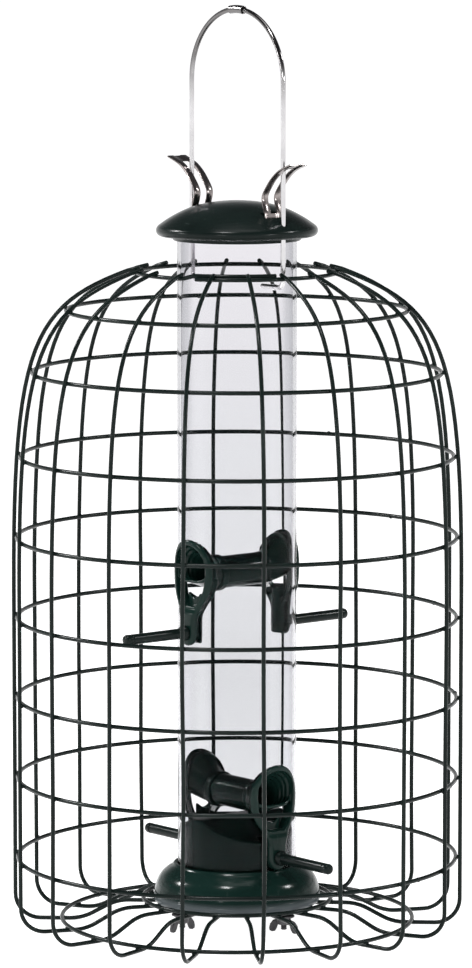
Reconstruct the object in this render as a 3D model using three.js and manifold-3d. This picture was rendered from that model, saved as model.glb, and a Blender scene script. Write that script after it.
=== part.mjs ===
// Caged tube bird feeder: a clear seed tube with four feeding ports inside a
// round wire cage, with a lift-up cap on a wire bail.
// Millimetres, +Z up. The origin is the centre of the base, on the surface the
// cage stands on. +X points along the lower pair of ports and through both
// legs of the bail; the upper pair of ports lies along Y.

import * as THREE from 'three';
import { mergeVertices } from 'three/addons/utils/BufferGeometryUtils.js';
import Module from 'manifold-3d';

const wasm = await Module();
wasm.setup();

// ---------------------------------------------------------------------------
// Driving dimensions
// ---------------------------------------------------------------------------

const GAP = 0.3;                       // running or weld gap between two solids

// Wire cage. Heights and radii are those of the wire's centre line.
const WIRE_RADIUS = 1.2;
const WIRE_SIDES = 6;
const RING_SIDES = 5;
const FLOOR_WIRE_HEIGHT = WIRE_RADIUS * Math.cos(Math.PI / WIRE_SIDES);   // flat side down
const UPRIGHT_COUNT = 18;
const UPRIGHT_PHASE_DEG = 6.8;
const CAGE_RADIUS = 125.8;
const SIDE_RING_HEIGHTS = [38.9, 84.2, 129.6, 175.0, 220.3];
const DOME_RING_HEIGHTS = [265.7, 312.7, 347.4];
const DOME_START_HEIGHT = 190;
const DOME_HANDLE_HEIGHT = 335;        // first handle of the dome's curve
const DOME_HANDLE = [112, 351];        // second handle of the dome's curve
const COLLAR_END_RADIUS = 54.5;        // inner ends of the wires at the collar
const COLLAR_END_HEIGHT = 371.6;
const COLLAR_RADIUS = 55.7;
const COLLAR_WELD_DROP = 0.5;          // wire end down to the weld at the collar
const COLLAR_START_DEG = -63.7;
const COLLAR_LAP_DEG = 48;
const COLLAR_LAP_INSET = 2.65;         // the lapped end lies inside and above the ring's start
const COLLAR_LAP_RISE = 1.9;
const CORNER_RADIUS = 14;              // between the cage side and its floor
const FLOOR_INNER_RADIUS = 88;         // where the floor wires start to rise
const FLOOR_RING_RADIUS = 99;
const HUB_HEIGHT = 12;                 // raised middle of the floor
const HUB_EDGE_RADIUS = 68;
const HUB_WIRE_END_RADIUS = 18;
const HUB_RING_RADIUS = 53;
const HUB_INNER_RING_RADIUS = 22;
const BEND_RADIUS = 7;

// Base housing (the dished foot of the seed tube) and the plug inside the tube
const HOUSING_RADIUS = 47;
const HOUSING_HEIGHT = 21.5;
const HOUSING_SKIRT = [                // outer face from its foot up to the rim, above the foot
  [46.6, 0], [47, 1.2], [46.6, 5.5], [45.9, 8.8], [44.7, 12.2], [42.8, 15.5], [40, 18.1], [37, 20.1],
];
const HOUSING_WALL = 2.6;
const HOUSING_FLOOR = 3;
const SCREW_BOSS_WALL = 1.8;
const SCREW_SEAT = 3;                  // thickness of the boss under the screw's head
const PLUG_SHOULDER_HEIGHT = 50;
const PLUG_RIDGE_HEIGHT = 62.5;

// Seed tube
const TUBE_OUTER_RADIUS = 33.4;
const TUBE_WALL = 2;
const TUBE_TOP = 391.5;
const TUBE_SEGMENTS = 36;

// Feeding ports, measured from the height of their perch
const LOWER_PERCH_HEIGHT = 42.5;
const UPPER_PERCH_HEIGHT = 168.9;
const PORT_TOP = 52.3;
const PORT_BOTTOM = -7;
const PORT_HALF_WIDTH = 16;
const PORT_STEM_HALF_WIDTH = 5.6;
const PORT_WIDEST = 33.5;
const PLATE_THICKNESS = 2.7;
const PORT_INSET = 1.2;                // plate overlap around the hole in the tube
const WINDOW_INSET = 3.6;
const WINDOW_SILL = 15.2;
const NECK_INNER_RADIUS = 28.6;        // side walls of the window, inside the tube
const NECK_TOP = 31;
const STEM_BLOCK_RADIUS = 37.4;        // thicker foot of the plate, around the perch
const STEM_BLOCK_TOP = 13;
const TONGUE_RADIUS = 6.2;             // rounded seed stop inside the tube
const TONGUE_CENTRE = 33.2;
const TONGUE_TOP = 22.5;
const TONGUE_TROUGH_RADIUS = 5;        // hollow along the tongue's top
const TONGUE_TROUGH_CENTRE = 24.5;
const HOOD_EDGE = 28;                  // lower edge of the hood at its mouth
const HOOD_WALL = 1.8;
const TUNNEL_CENTRE = 32;
const TUNNEL_RADIUS = 9;
const TUNNEL_BORE = 6.7;
const TUNNEL_START = 16;               // distance from the tube's axis
const SPIGOT_RADIUS = 7.9;
const SPIGOT_SHOULDER = -12.7;
const SPIGOT_END = -15.4;
const SOCKET_END = 13;
const SOCKET_RADIUS = 10.2;

// Perches
const PERCH_RADIUS = 3;
const PERCH_TIP = 80.5;
const PERCH_INNER_END = 31.4;
const PERCH_COLLAR_RADIUS = 4.1;
const PERCH_COLLAR_LENGTH = 2.4;

// Bail
const BAIL_RADIUS = 1.4;
const BAIL_HALF_WIDTH = 39.7;
const BAIL_SPRING_LINE = 474.9;        // where the legs turn into the arch
const BAIL_PIVOT_HEIGHT = 362;
const BAIL_INNER_END = 22;
const BAIL_CORNER_RADIUS = 4;
const SLEEVE_HALF_LENGTH = 6;
const SLEEVE_RADIUS = 2.35;

// Cap
const CAP_RADIUS = 45.1;
const CAP_BRIM_HEIGHT = 392;
const CAP_DOME = [                     // outer face, from the brim to the top, above the brim
  [45.1, 0], [44.9, 1.2], [44.2, 2.3], [42.9, 3.4], [40.6, 5],
  [36, 7.9], [30, 11], [22, 13.9], [12, 15.8], [0, 16.5],
];
const CAP_LIP_TURN = [                 // rounded lower edge, below the brim
  [42, 3.1], [43, 3], [44.2, 2.3], [44.9, 1.2],
];
const CAP_WALL = 1.6;
const CAP_LIP = 3.1;
const LINER_RADIUS = 35.8;
const LINER_WALL = 1.1;
const LINER_CEILING = 393;
const LINER_BOTTOM = 386.6;

// Latch tabs on the cap
const TAB_WIDTH = 13.5;
const TAB_SLOT_WIDTH = 4.4;
const TAB_SLOT_BOTTOM = 402.8;
const TAB_SLOT_REACH = 5.3;            // slot's end beyond the bail's leg
const TAB_THICKNESS = 1;
const TAB_ROOT_RADIUS = 31.8;

// Cage screws, their washers and wing nuts
const SCREW_CIRCLE_RADIUS = 41;
const SCREW_ANGLES_DEG = [0, 92, 180, 272];   // between the floor wires
const SCREW_RADIUS = 1.75;
const SCREW_HEAD_RADIUS = 3.6;
const SCREW_HEAD_HEIGHT = 2;
const SCREW_END_HEIGHT = 2.4;
const WASHER_RADIUS = 6;
const WASHER_THICKNESS = 1;
const NUT_HUB_RADIUS = 4;
const NUT_HUB_HEIGHT = 3.8;
const NUT_WING_SPAN = 9;
const NUT_WING_THICKNESS = 2;
const NUT_TIP_HEIGHT = 0.6;
const NUT_TURNS_DEG = [20, 60, 110, 95];      // way the wings of each nut point

// ---------------------------------------------------------------------------
// Finishes
// ---------------------------------------------------------------------------

const darkGreenPaint = { color: 0x1c2a26, roughness: 0.28, metalness: 0.1 };
const darkGreenMoulding = { color: 0x172b26, roughness: 0.22, metalness: 0.0 };
const clearPlastic = {
  color: 0xe4e2ec, roughness: 0.05, metalness: 0.0, transparent: true, opacity: 0.3,
};
const polishedSteel = { color: 0xc9c9cc, roughness: 0.12, metalness: 1.0 };
const darkZinc = { color: 0x3b3b3e, roughness: 0.45, metalness: 0.8 };

// ---------------------------------------------------------------------------
// Geometry helpers
// ---------------------------------------------------------------------------

const rad = THREE.MathUtils.degToRad;

const feeder = new THREE.Group();

function signedVolume(geometry) {
  const position = geometry.getAttribute('position');
  const index = geometry.getIndex();
  const corner = [0, 1, 2].map(() => new THREE.Vector3());
  let volume = 0;
  for (let i = 0; i < index.count; i += 3) {
    corner.forEach((v, k) => v.fromBufferAttribute(position, index.getX(i + k)));
    volume += corner[0].dot(corner[1].clone().cross(corner[2])) / 6;
  }
  return volume;
}

// Shared vertices merged, only position kept, and faces pointing outwards.
function solid(geometry) {
  const bare = geometry.clone();
  bare.deleteAttribute('normal');
  bare.deleteAttribute('uv');
  const merged = mergeVertices(bare, 1e-4);
  const index = merged.getIndex();
  const kept = [];
  for (let i = 0; i < index.count; i += 3) {
    const [a, b, c] = [index.getX(i), index.getX(i + 1), index.getX(i + 2)];
    if (a !== b && b !== c && a !== c) kept.push(a, b, c);
  }
  merged.setIndex(kept);
  if (signedVolume(merged) < 0) {
    merged.setIndex(kept.map((_, i) => kept[i % 3 === 0 ? i : (i % 3 === 1 ? i + 1 : i - 1)]));
  }
  return merged;
}

function toManifold(geometry) {
  const merged = solid(geometry);
  return new wasm.Manifold(new wasm.Mesh({
    numProp: 3,
    vertProperties: new Float32Array(merged.getAttribute('position').array),
    triVerts: new Uint32Array(merged.getIndex().array),
  }));
}

function fromManifold(manifold) {
  const mesh = manifold.getMesh();
  const geometry = new THREE.BufferGeometry();
  geometry.setAttribute('position', new THREE.BufferAttribute(mesh.vertProperties, 3));
  geometry.setIndex(new THREE.BufferAttribute(mesh.triVerts, 1));
  return geometry;
}

function addPiece(name, geometry, finish) {
  const closed = solid(geometry);
  closed.computeVertexNormals();
  const mesh = new THREE.Mesh(closed, new THREE.MeshStandardMaterial(finish));
  mesh.name = name;
  feeder.add(mesh);
  return mesh;
}

// A curve through hand-placed stations, sampled exactly at those stations.
class StationCurve extends THREE.Curve {
  constructor(stations) {
    super();
    this.stations = stations;
  }

  getPoint(t, target = new THREE.Vector3()) {
    const place = t * (this.stations.length - 1);
    const before = Math.min(Math.floor(place + 1e-9), this.stations.length - 2);
    return target.lerpVectors(this.stations[before], this.stations[before + 1], place - before);
  }

  getTangent(t, target = new THREE.Vector3()) {
    const last = this.stations.length - 1;
    const here = Math.round(t * last);
    const from = this.stations[Math.max(here - 1, 0)];
    const to = this.stations[Math.min(here + 1, last)];
    return target.subVectors(to, from).normalize();
  }

  getUtoTmapping(u) {
    return u;
  }
}

function polygon(radius, sides) {
  const points = [];
  for (let i = 0; i < sides; i += 1) {
    const angle = ((i + 0.5) * 2 * Math.PI) / sides;
    points.push(new THREE.Vector2(radius * Math.cos(angle), radius * Math.sin(angle)));
  }
  return new THREE.Shape(points);
}

function rod(stations, radius, sides = WIRE_SIDES) {
  return new THREE.ExtrudeGeometry(polygon(radius, sides), {
    steps: stations.length - 1,
    extrudePath: new StationCurve(stations),
    bevelEnabled: false,
  });
}

// Profile of [radius, height] pairs turned about the vertical axis.
function turned(profile, segments = TUBE_SEGMENTS) {
  const points = profile.map(([r, z]) => new THREE.Vector2(r, z));
  const closesOnAxis = profile[0][0] === 0 && profile[profile.length - 1][0] === 0;
  if (!closesOnAxis) points.push(points[0].clone());
  return new THREE.LatheGeometry(points, segments).rotateX(Math.PI / 2);
}

function cylinder(radius, bottom, top, segments = 16) {
  return turned([[0, bottom], [radius, bottom], [radius, top], [0, top]], segments);
}

function box(x, y, z) {
  const geometry = new THREE.BoxGeometry(x[1] - x[0], y[1] - y[0], z[1] - z[0]);
  return geometry.translate((x[0] + x[1]) / 2, (y[0] + y[1]) / 2, (z[0] + z[1]) / 2);
}

// Points of an arc in the (radius, height) plane.
function arc(centre, radius, startDeg, endDeg, steps) {
  const points = [];
  for (let i = 0; i <= steps; i += 1) {
    const angle = rad(startDeg + ((endDeg - startDeg) * i) / steps);
    points.push([centre[0] + radius * Math.cos(angle), centre[1] + radius * Math.sin(angle)]);
  }
  return points;
}

// ---------------------------------------------------------------------------
// Wire cage
// ---------------------------------------------------------------------------

const domeCurve = new THREE.CubicBezierCurve(
  new THREE.Vector2(CAGE_RADIUS, DOME_START_HEIGHT),
  new THREE.Vector2(CAGE_RADIUS, DOME_HANDLE_HEIGHT),
  new THREE.Vector2(...DOME_HANDLE),
  new THREE.Vector2(COLLAR_END_RADIUS, COLLAR_END_HEIGHT),
);

const weldOffset = 2 * WIRE_RADIUS + GAP;

// A floor bend: one short chord in place of the corner.
function roundedCorner(before, corner, after, radius) {
  const towards = (from, to) => new THREE.Vector2(to[0] - from[0], to[1] - from[1]).normalize();
  const back = towards(corner, before);
  const ahead = towards(corner, after);
  const halfTurn = (Math.PI - Math.acos(THREE.MathUtils.clamp(back.dot(ahead), -1, 1))) / 2;
  const reach = radius * Math.tan(halfTurn);
  const start = [corner[0] + back.x * reach, corner[1] + back.y * reach];
  const end = [corner[0] + ahead.x * reach, corner[1] + ahead.y * reach];
  return [start, end];
}

function uprightProfile() {
  const floor = FLOOR_WIRE_HEIGHT;
  const hubEnd = [HUB_WIRE_END_RADIUS, HUB_HEIGHT];
  const hubEdge = [HUB_EDGE_RADIUS, HUB_HEIGHT];
  const slopeFoot = [FLOOR_INNER_RADIUS, floor];
  const cornerStart = [CAGE_RADIUS - CORNER_RADIUS, floor];
  const cornerCentre = [CAGE_RADIUS - CORNER_RADIUS, floor + CORNER_RADIUS];
  const dome = domeCurve.getPoints(7).map((p) => [p.x, p.y]);
  return [
    hubEnd,
    ...roundedCorner(hubEnd, hubEdge, slopeFoot, BEND_RADIUS),
    ...roundedCorner(hubEdge, slopeFoot, cornerStart, BEND_RADIUS),
    ...arc(cornerCentre, CORNER_RADIUS, -90, 0, 3),
    ...dome,
  ];
}

function makeUprights() {
  const profile = uprightProfile().map(([r, z]) => new THREE.Vector3(r, 0, z));
  for (let i = 0; i < UPRIGHT_COUNT; i += 1) {
    const number = String(i + 1).padStart(2, '0');
    const wire = addPiece(`cage_upright_${number}`, rod(profile, WIRE_RADIUS), darkGreenPaint);
    wire.rotation.z = rad(UPRIGHT_PHASE_DEG + (360 / UPRIGHT_COUNT) * i);
  }
}

function wireRing(name, radius, height) {
  const ring = new THREE.TorusGeometry(radius, WIRE_RADIUS, RING_SIDES, 2 * UPRIGHT_COUNT);
  const mesh = addPiece(name, ring, darkGreenPaint);
  mesh.position.z = height;
  mesh.rotation.z = rad(UPRIGHT_PHASE_DEG);
}

// Radius at which a ring of the given height lies against the dome's inside.
function domeRingRadius(height) {
  let low = 0;
  let high = 1;
  let centre = new THREE.Vector2();
  for (let i = 0; i < 40; i += 1) {
    const t = (low + high) / 2;
    const tangent = domeCurve.getTangent(t);
    centre = domeCurve.getPoint(t).add(new THREE.Vector2(-tangent.y, tangent.x).multiplyScalar(weldOffset));
    if (centre.y < height) low = t;
    else high = t;
  }
  return centre.x;
}

function makeRings() {
  const heights = [...SIDE_RING_HEIGHTS, ...DOME_RING_HEIGHTS];
  heights.forEach((height, i) => {
    const radius = height < DOME_START_HEIGHT ? CAGE_RADIUS - weldOffset : domeRingRadius(height);
    wireRing(`cage_ring_${i + 1}`, radius, height);
  });
  wireRing('floor_ring', FLOOR_RING_RADIUS, FLOOR_WIRE_HEIGHT + weldOffset);
  wireRing('hub_ring_outer', HUB_RING_RADIUS, HUB_HEIGHT + weldOffset);
  wireRing('hub_ring_inner', HUB_INNER_RING_RADIUS, HUB_HEIGHT - weldOffset);
}

// The collar ring runs under the uprights. Its last stretch moves inwards and
// up between two of them, and laps back past the start of the ring.
function makeCollar() {
  const underHeight = COLLAR_END_HEIGHT - COLLAR_WELD_DROP - weldOffset;
  const turns = [];
  const shiftFrom = 351;
  const shiftTo = 358.5;
  const shiftStep = 2.5;
  const lapStep = 9.5;
  for (let turn = 0; turn < shiftFrom; turn += 10) turns.push(turn);
  for (let turn = shiftFrom; turn <= shiftTo; turn += shiftStep) turns.push(turn);
  for (let turn = shiftTo + lapStep; turn <= 360 + COLLAR_LAP_DEG; turn += lapStep) turns.push(turn);
  const stations = turns.map((turn) => {
    const angle = rad(COLLAR_START_DEG + turn);
    const share = THREE.MathUtils.smoothstep(turn, shiftFrom, shiftTo);
    const radius = COLLAR_RADIUS - COLLAR_LAP_INSET * share;
    return new THREE.Vector3(
      radius * Math.cos(angle),
      radius * Math.sin(angle),
      underHeight + COLLAR_LAP_RISE * share,
    );
  });
  addPiece('collar_ring', rod(stations, WIRE_RADIUS, RING_SIDES), darkGreenPaint);
}

// ---------------------------------------------------------------------------
// Base housing, plug and seed tube
// ---------------------------------------------------------------------------

const housingBottom = HUB_HEIGHT + WIRE_RADIUS + GAP;
const housingTop = housingBottom + HOUSING_HEIGHT;
const floorTop = housingBottom + HOUSING_FLOOR;
const tubeInnerRadius = TUBE_OUTER_RADIUS - TUBE_WALL;

const screwHole = (radius, bottom, top, angleDeg) => toManifold(
  cylinder(radius, bottom, top, 10)
    .translate(SCREW_CIRCLE_RADIUS, 0, 0)
    .rotateZ(rad(angleDeg)),
);

// A dished shell with a socket for the tube. Its flange is open below, and a
// boss under each screw keeps the flange clear of the cage wires.
function makeHousing() {
  const socket = TUBE_OUTER_RADIUS + GAP;
  const skirt = HOUSING_SKIRT.map(([r, up]) => [r, housingBottom + up]);
  const rim = [socket + 1.6, housingTop];
  const shell = turned([
    [0, housingBottom],
    [socket + HOUSING_WALL, housingBottom],
    [socket + HOUSING_WALL, housingTop - 5.6],
    [HOUSING_RADIUS - HOUSING_WALL - 3.4, housingTop - 7.6],
    [HOUSING_RADIUS - HOUSING_WALL - 0.8, housingTop - 13],
    [HOUSING_RADIUS - HOUSING_WALL, housingBottom],
    ...skirt,
    rim,
    [socket, housingTop],
    [socket, floorTop],
    [0, floorTop],
  ]);
  const envelope = toManifold(turned([[0, housingBottom], ...skirt, rim, [0, housingTop]]));
  const seatTop = housingBottom + SCREW_SEAT;
  const headTop = seatTop + SCREW_HEAD_HEIGHT + GAP;
  const bossRadius = SCREW_HEAD_RADIUS + SCREW_BOSS_WALL;
  let housing = toManifold(shell);
  SCREW_ANGLES_DEG.forEach((angle) => {
    const boss = screwHole(bossRadius, housingBottom, housingTop - 7.5, angle);
    housing = housing.add(boss.intersect(envelope));
  });
  SCREW_ANGLES_DEG.forEach((angle) => {
    housing = housing.subtract(screwHole(SCREW_RADIUS + GAP, housingBottom - 1, headTop, angle));
    housing = housing.subtract(screwHole(SCREW_HEAD_RADIUS + GAP, seatTop, headTop, angle));
  });
  addPiece('base_housing', fromManifold(housing), darkGreenMoulding);
}

const portFrame = [
  { name: 'lower_port_front', angle: 0, height: LOWER_PERCH_HEIGHT, hasSpigot: true },
  { name: 'lower_port_back', angle: 180, height: LOWER_PERCH_HEIGHT, hasSpigot: false },
  { name: 'upper_port_front', angle: -90, height: UPPER_PERCH_HEIGHT, hasSpigot: false },
  { name: 'upper_port_back', angle: 90, height: UPPER_PERCH_HEIGHT, hasSpigot: true },
];

function placeAtPort(geometry, port) {
  return geometry.rotateZ(rad(port.angle)).translate(0, 0, port.height);
}

// Outline of a port: a round head on a narrow stem, drawn in (across, up).
function portOutline(inset) {
  const stem = PORT_STEM_HALF_WIDTH - inset;
  const half = PORT_HALF_WIDTH - inset;
  const top = PORT_TOP - inset;
  const bottom = PORT_BOTTOM + inset;
  const shape = new THREE.Shape();
  shape.moveTo(stem, bottom + stem);
  shape.lineTo(stem, 7);
  shape.bezierCurveTo(stem + 1.5, 16, half, 18, half, PORT_WIDEST);
  shape.bezierCurveTo(half, top - 7, 8, top, 0, top);
  shape.bezierCurveTo(-8, top, -half, top - 7, -half, PORT_WIDEST);
  shape.bezierCurveTo(-half, 18, -stem - 1.5, 16, -stem, 7);
  shape.lineTo(-stem, bottom + stem);
  shape.absarc(0, bottom + stem, stem, Math.PI, 2 * Math.PI, false);
  return shape;
}

const CUT_FROM = 20;                   // a cutter's reach through the tube's wall
const CUT_TO = 45;

// A shape drawn in (across, up) pushed outwards from one radius to another.
function prism(shape, from, to, curveSegments = 4) {
  const geometry = new THREE.ExtrudeGeometry(shape, {
    depth: to - from, bevelEnabled: false, curveSegments,
  });
  geometry.rotateX(Math.PI / 2).rotateZ(Math.PI / 2);
  return geometry.translate(from, 0, 0);
}

function annulus(inner, outer, bottom, top) {
  return toManifold(turned([[inner, bottom], [outer, bottom], [outer, top], [inner, top]]));
}

function makeTube() {
  let tube = annulus(tubeInnerRadius, TUBE_OUTER_RADIUS, floorTop + GAP, TUBE_TOP);
  portFrame.forEach((port) => {
    const cutter = prism(portOutline(PORT_INSET), CUT_FROM, CUT_TO);
    tube = tube.subtract(toManifold(placeAtPort(cutter, port)));
  });
  const bailHole = cylinder(BAIL_RADIUS + GAP, -50, 50, 12).rotateY(Math.PI / 2);
  tube = tube.subtract(toManifold(bailHole.translate(0, 0, BAIL_PIVOT_HEIGHT)));
  addPiece('seed_tube', fromManifold(tube), clearPlastic);
}

// The plug fills the foot of the tube. Its top is a ridge along Y, so seed
// runs down to both lower ports.
function makePlug() {
  const radius = tubeInnerRadius - GAP;
  const roof = new THREE.Shape();
  roof.moveTo(-radius - 1, floorTop + GAP);
  roof.lineTo(radius + 1, floorTop + GAP);
  roof.lineTo(radius + 1, PLUG_SHOULDER_HEIGHT);
  roof.lineTo(4, PLUG_RIDGE_HEIGHT);
  roof.lineTo(-4, PLUG_RIDGE_HEIGHT);
  roof.lineTo(-radius - 1, PLUG_SHOULDER_HEIGHT);
  const block = new THREE.ExtrudeGeometry(roof, { depth: 2 * radius + 2, bevelEnabled: false });
  block.rotateX(Math.PI / 2).translate(0, radius + 1, 0);
  const body = toManifold(cylinder(radius, floorTop, PLUG_RIDGE_HEIGHT + 1, 36));
  let plug = body.intersect(toManifold(block));
  portFrame.filter((port) => port.height === LOWER_PERCH_HEIGHT).forEach((port) => {
    const half = TONGUE_RADIUS + 0.5;
    const notch = box([TONGUE_CENTRE - half - 1, CUT_TO], [-half, half], [PORT_BOTTOM - 3, CUT_TO]);
    plug = plug.subtract(toManifold(placeAtPort(notch, port)));
  });
  addPiece('base_plug', fromManifold(plug), darkGreenMoulding);
}

// ---------------------------------------------------------------------------
// Feeding ports and perches
// ---------------------------------------------------------------------------

// Section of the hood between its mouth (share 1) and the tunnel (share 0).
function hoodSection(share, shrink) {
  const points = [];
  const sides = 14;
  const mouthHalfWidth = PORT_HALF_WIDTH - PORT_INSET - GAP - 0.6;
  const mouthTop = PORT_TOP - PORT_INSET - GAP - 0.4;
  for (let i = 0; i < sides; i += 1) {
    const angle = (i * 2 * Math.PI) / sides;
    const c = Math.cos(angle);
    const s = Math.sin(angle);
    const circle = [TUNNEL_RADIUS * c, TUNNEL_CENTRE + TUNNEL_RADIUS * s];
    const mouthAcross = mouthHalfWidth * Math.sign(c) * Math.abs(c) ** 0.75;
    const mouthCentre = HOOD_EDGE + 9;
    const mouthUp = s > 0
      ? mouthCentre + (mouthTop - mouthCentre) * s
      : mouthCentre + (mouthCentre - HOOD_EDGE) * -1 * Math.abs(s) ** 0.55;
    const across = circle[0] + (mouthAcross - circle[0]) * share;
    const up = circle[1] + (mouthUp - circle[1]) * share;
    const size = Math.hypot(across, up - TUNNEL_CENTRE);
    const scale = (size - shrink) / size;
    points.push([across * scale, TUNNEL_CENTRE + (up - TUNNEL_CENTRE) * scale]);
  }
  return points;
}

// A closed loft through hood sections at the given distances from the axis.
function hoodLoft(distances, shares, shrink) {
  const rings = distances.map((x, k) => (
    hoodSection(shares[k], shrink).map(([across, up]) => [x, across, up])
  ));
  const sides = rings[0].length;
  const vertices = rings.flat();
  const index = [];
  for (let k = 0; k + 1 < rings.length; k += 1) {
    for (let i = 0; i < sides; i += 1) {
      const a = k * sides + i;
      const b = k * sides + ((i + 1) % sides);
      index.push(a, b, a + sides, b, b + sides, a + sides);
    }
  }
  [0, rings.length - 1].forEach((k) => {
    const centre = vertices.length;
    vertices.push([distances[k], 0, TUNNEL_CENTRE]);
    for (let i = 0; i < sides; i += 1) {
      const a = k * sides + i;
      const b = k * sides + ((i + 1) % sides);
      if (k === 0) index.push(centre, b, a);
      else index.push(centre, a, b);
    }
  });
  const geometry = new THREE.BufferGeometry();
  geometry.setAttribute('position', new THREE.Float32BufferAttribute(vertices.flat(), 3));
  geometry.setIndex(index);
  return geometry;
}

// A round bar along the tunnel, by its distances from the tube's axis.
function alongTunnel(radius, from, to) {
  const bar = cylinder(radius, from, to, 14).rotateY(Math.PI / 2);
  return toManifold(bar.translate(0, 0, TUNNEL_CENTRE));
}

// Everything of a port that doesn't depend on how its tunnel ends.
function portBody() {
  const plateInner = TUBE_OUTER_RADIUS + GAP;
  const wide = [-20, 20];
  const low = PORT_BOTTOM - 1;
  const high = PORT_TOP + 1;
  const outline = toManifold(prism(portOutline(0), CUT_FROM, CUT_TO));
  const throughHole = toManifold(prism(portOutline(PORT_INSET + GAP), 0, CUT_TO));
  const slab = (bottom, top) => toManifold(box([0, CUT_TO], wide, [bottom, top]));

  const plate = outline.intersect(annulus(plateInner, plateInner + PLATE_THICKNESS, low, high));
  const stemBlock = outline
    .intersect(annulus(plateInner, STEM_BLOCK_RADIUS, low, STEM_BLOCK_TOP));
  const neck = throughHole.intersect(annulus(tubeInnerRadius - 1, plateInner + 0.5, low, high));
  const sideWalls = throughHole.intersect(annulus(NECK_INNER_RADIUS, plateInner, low, NECK_TOP));
  const window = toManifold(prism(portOutline(WINDOW_INSET), CUT_FROM, CUT_TO))
    .intersect(slab(WINDOW_SILL, high));

  const tongueBar = cylinder(TONGUE_RADIUS, PORT_BOTTOM + 1, TONGUE_TOP, 16).translate(TONGUE_CENTRE, 0, 0);
  const trough = cylinder(TONGUE_TROUGH_RADIUS, CUT_FROM, CUT_TO, 16).rotateY(Math.PI / 2)
    .translate(0, 0, TONGUE_TROUGH_CENTRE);
  const tongue = toManifold(tongueBar)
    .intersect(toManifold(cylinder(tubeInnerRadius - GAP, low, high, TUBE_SEGMENTS)))
    .subtract(toManifold(trough));
  return plate.add(stemBlock).add(neck).add(sideWalls).subtract(window).add(tongue);
}

function makePort(port) {
  const throughHole = toManifold(prism(portOutline(PORT_INSET + GAP), 0, CUT_TO));
  const distances = [TUNNEL_START, 21, 27, 32.6];
  const shares = [0, 0.16, 0.58, 1];
  const hood = toManifold(hoodLoft(distances, shares, 0)).intersect(throughHole);
  const bore = toManifold(hoodLoft([...distances.slice(0, -1), CUT_TO - 5], shares, HOOD_WALL));
  const joint = 0.5;                   // overlap between the parts of one casting

  let casting = portBody().add(hood);
  if (port.hasSpigot) {
    casting = casting
      .add(alongTunnel(TUNNEL_RADIUS, SPIGOT_SHOULDER, TUNNEL_START + joint))
      .add(alongTunnel(SPIGOT_RADIUS, SPIGOT_END, SPIGOT_SHOULDER + joint))
      .subtract(alongTunnel(TUNNEL_BORE, SPIGOT_END - 1, TUNNEL_START + 1));
  } else {
    casting = casting
      .add(alongTunnel(SOCKET_RADIUS, SOCKET_END, TUNNEL_START + 2))
      .subtract(alongTunnel(SPIGOT_RADIUS + GAP, SOCKET_END - 1, GAP - SPIGOT_END))
      .subtract(alongTunnel(TUNNEL_BORE, 0, TUNNEL_START + 1));
  }
  casting = casting.subtract(bore);
  const perchHole = cylinder(PERCH_RADIUS + GAP, PERCH_INNER_END - GAP, CUT_TO, 16).rotateY(Math.PI / 2);
  casting = casting.subtract(toManifold(perchHole));
  addPiece(port.name, placeAtPort(fromManifold(casting), port), darkGreenMoulding);
}

function makePerch(port) {
  const collarStart = STEM_BLOCK_RADIUS + GAP;
  const tipRound = 0.8;
  const profile = [
    [0, PERCH_INNER_END],
    [PERCH_RADIUS, PERCH_INNER_END],
    [PERCH_RADIUS, collarStart],
    [PERCH_COLLAR_RADIUS, collarStart],
    [PERCH_COLLAR_RADIUS, collarStart + PERCH_COLLAR_LENGTH],
    [PERCH_RADIUS, collarStart + PERCH_COLLAR_LENGTH + 0.6],
    [PERCH_RADIUS, PERCH_TIP - tipRound],
    [PERCH_RADIUS - tipRound, PERCH_TIP],
    [0, PERCH_TIP],
  ];
  const perch = turned(profile, 12).rotateY(Math.PI / 2);
  addPiece(port.name.replace('port', 'perch'), placeAtPort(perch, port), darkGreenPaint);
}

// ---------------------------------------------------------------------------
// Cap, its liner and latch tabs
// ---------------------------------------------------------------------------

const capUnderside = CAP_BRIM_HEIGHT - CAP_LIP;
const capTop = CAP_BRIM_HEIGHT + CAP_DOME[CAP_DOME.length - 1][1];

function makeCapDome() {
  const innerScale = (CAP_RADIUS - 2 * CAP_WALL) / CAP_RADIUS;
  const inside = CAP_DOME.slice(2)
    .map(([r, up]) => [r * innerScale, CAP_BRIM_HEIGHT + up - CAP_WALL])
    .reverse();
  const linerClearance = LINER_RADIUS + GAP + 1;
  const shell = turned([
    ...inside,
    [CAP_RADIUS - 2 * CAP_WALL, capUnderside + CAP_WALL],
    [linerClearance, capUnderside + CAP_WALL],
    [linerClearance, capUnderside],
    ...CAP_LIP_TURN.map(([r, down]) => [r, CAP_BRIM_HEIGHT - down]),
    ...CAP_DOME.map(([r, up]) => [r, CAP_BRIM_HEIGHT + up]),
  ]);
  let dome = toManifold(shell);
  const slitLow = LINER_CEILING + 4;
  const slitHigh = capTop;
  [1, -1].forEach((side) => {
    const legHole = cylinder(BAIL_RADIUS + 0.7, capUnderside - 5, capTop, 14)
      .translate(side * BAIL_HALF_WIDTH, 0, 0);
    const slit = box([TAB_ROOT_RADIUS - 3.2, TAB_ROOT_RADIUS + 2.6],
      [-TAB_WIDTH / 2 - 0.6, TAB_WIDTH / 2 + 0.6], [slitLow, slitHigh]);
    if (side < 0) slit.rotateZ(Math.PI);
    dome = dome.subtract(toManifold(legHole)).subtract(toManifold(slit));
  });
  addPiece('cap_dome', fromManifold(dome), darkGreenPaint);
}

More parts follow.
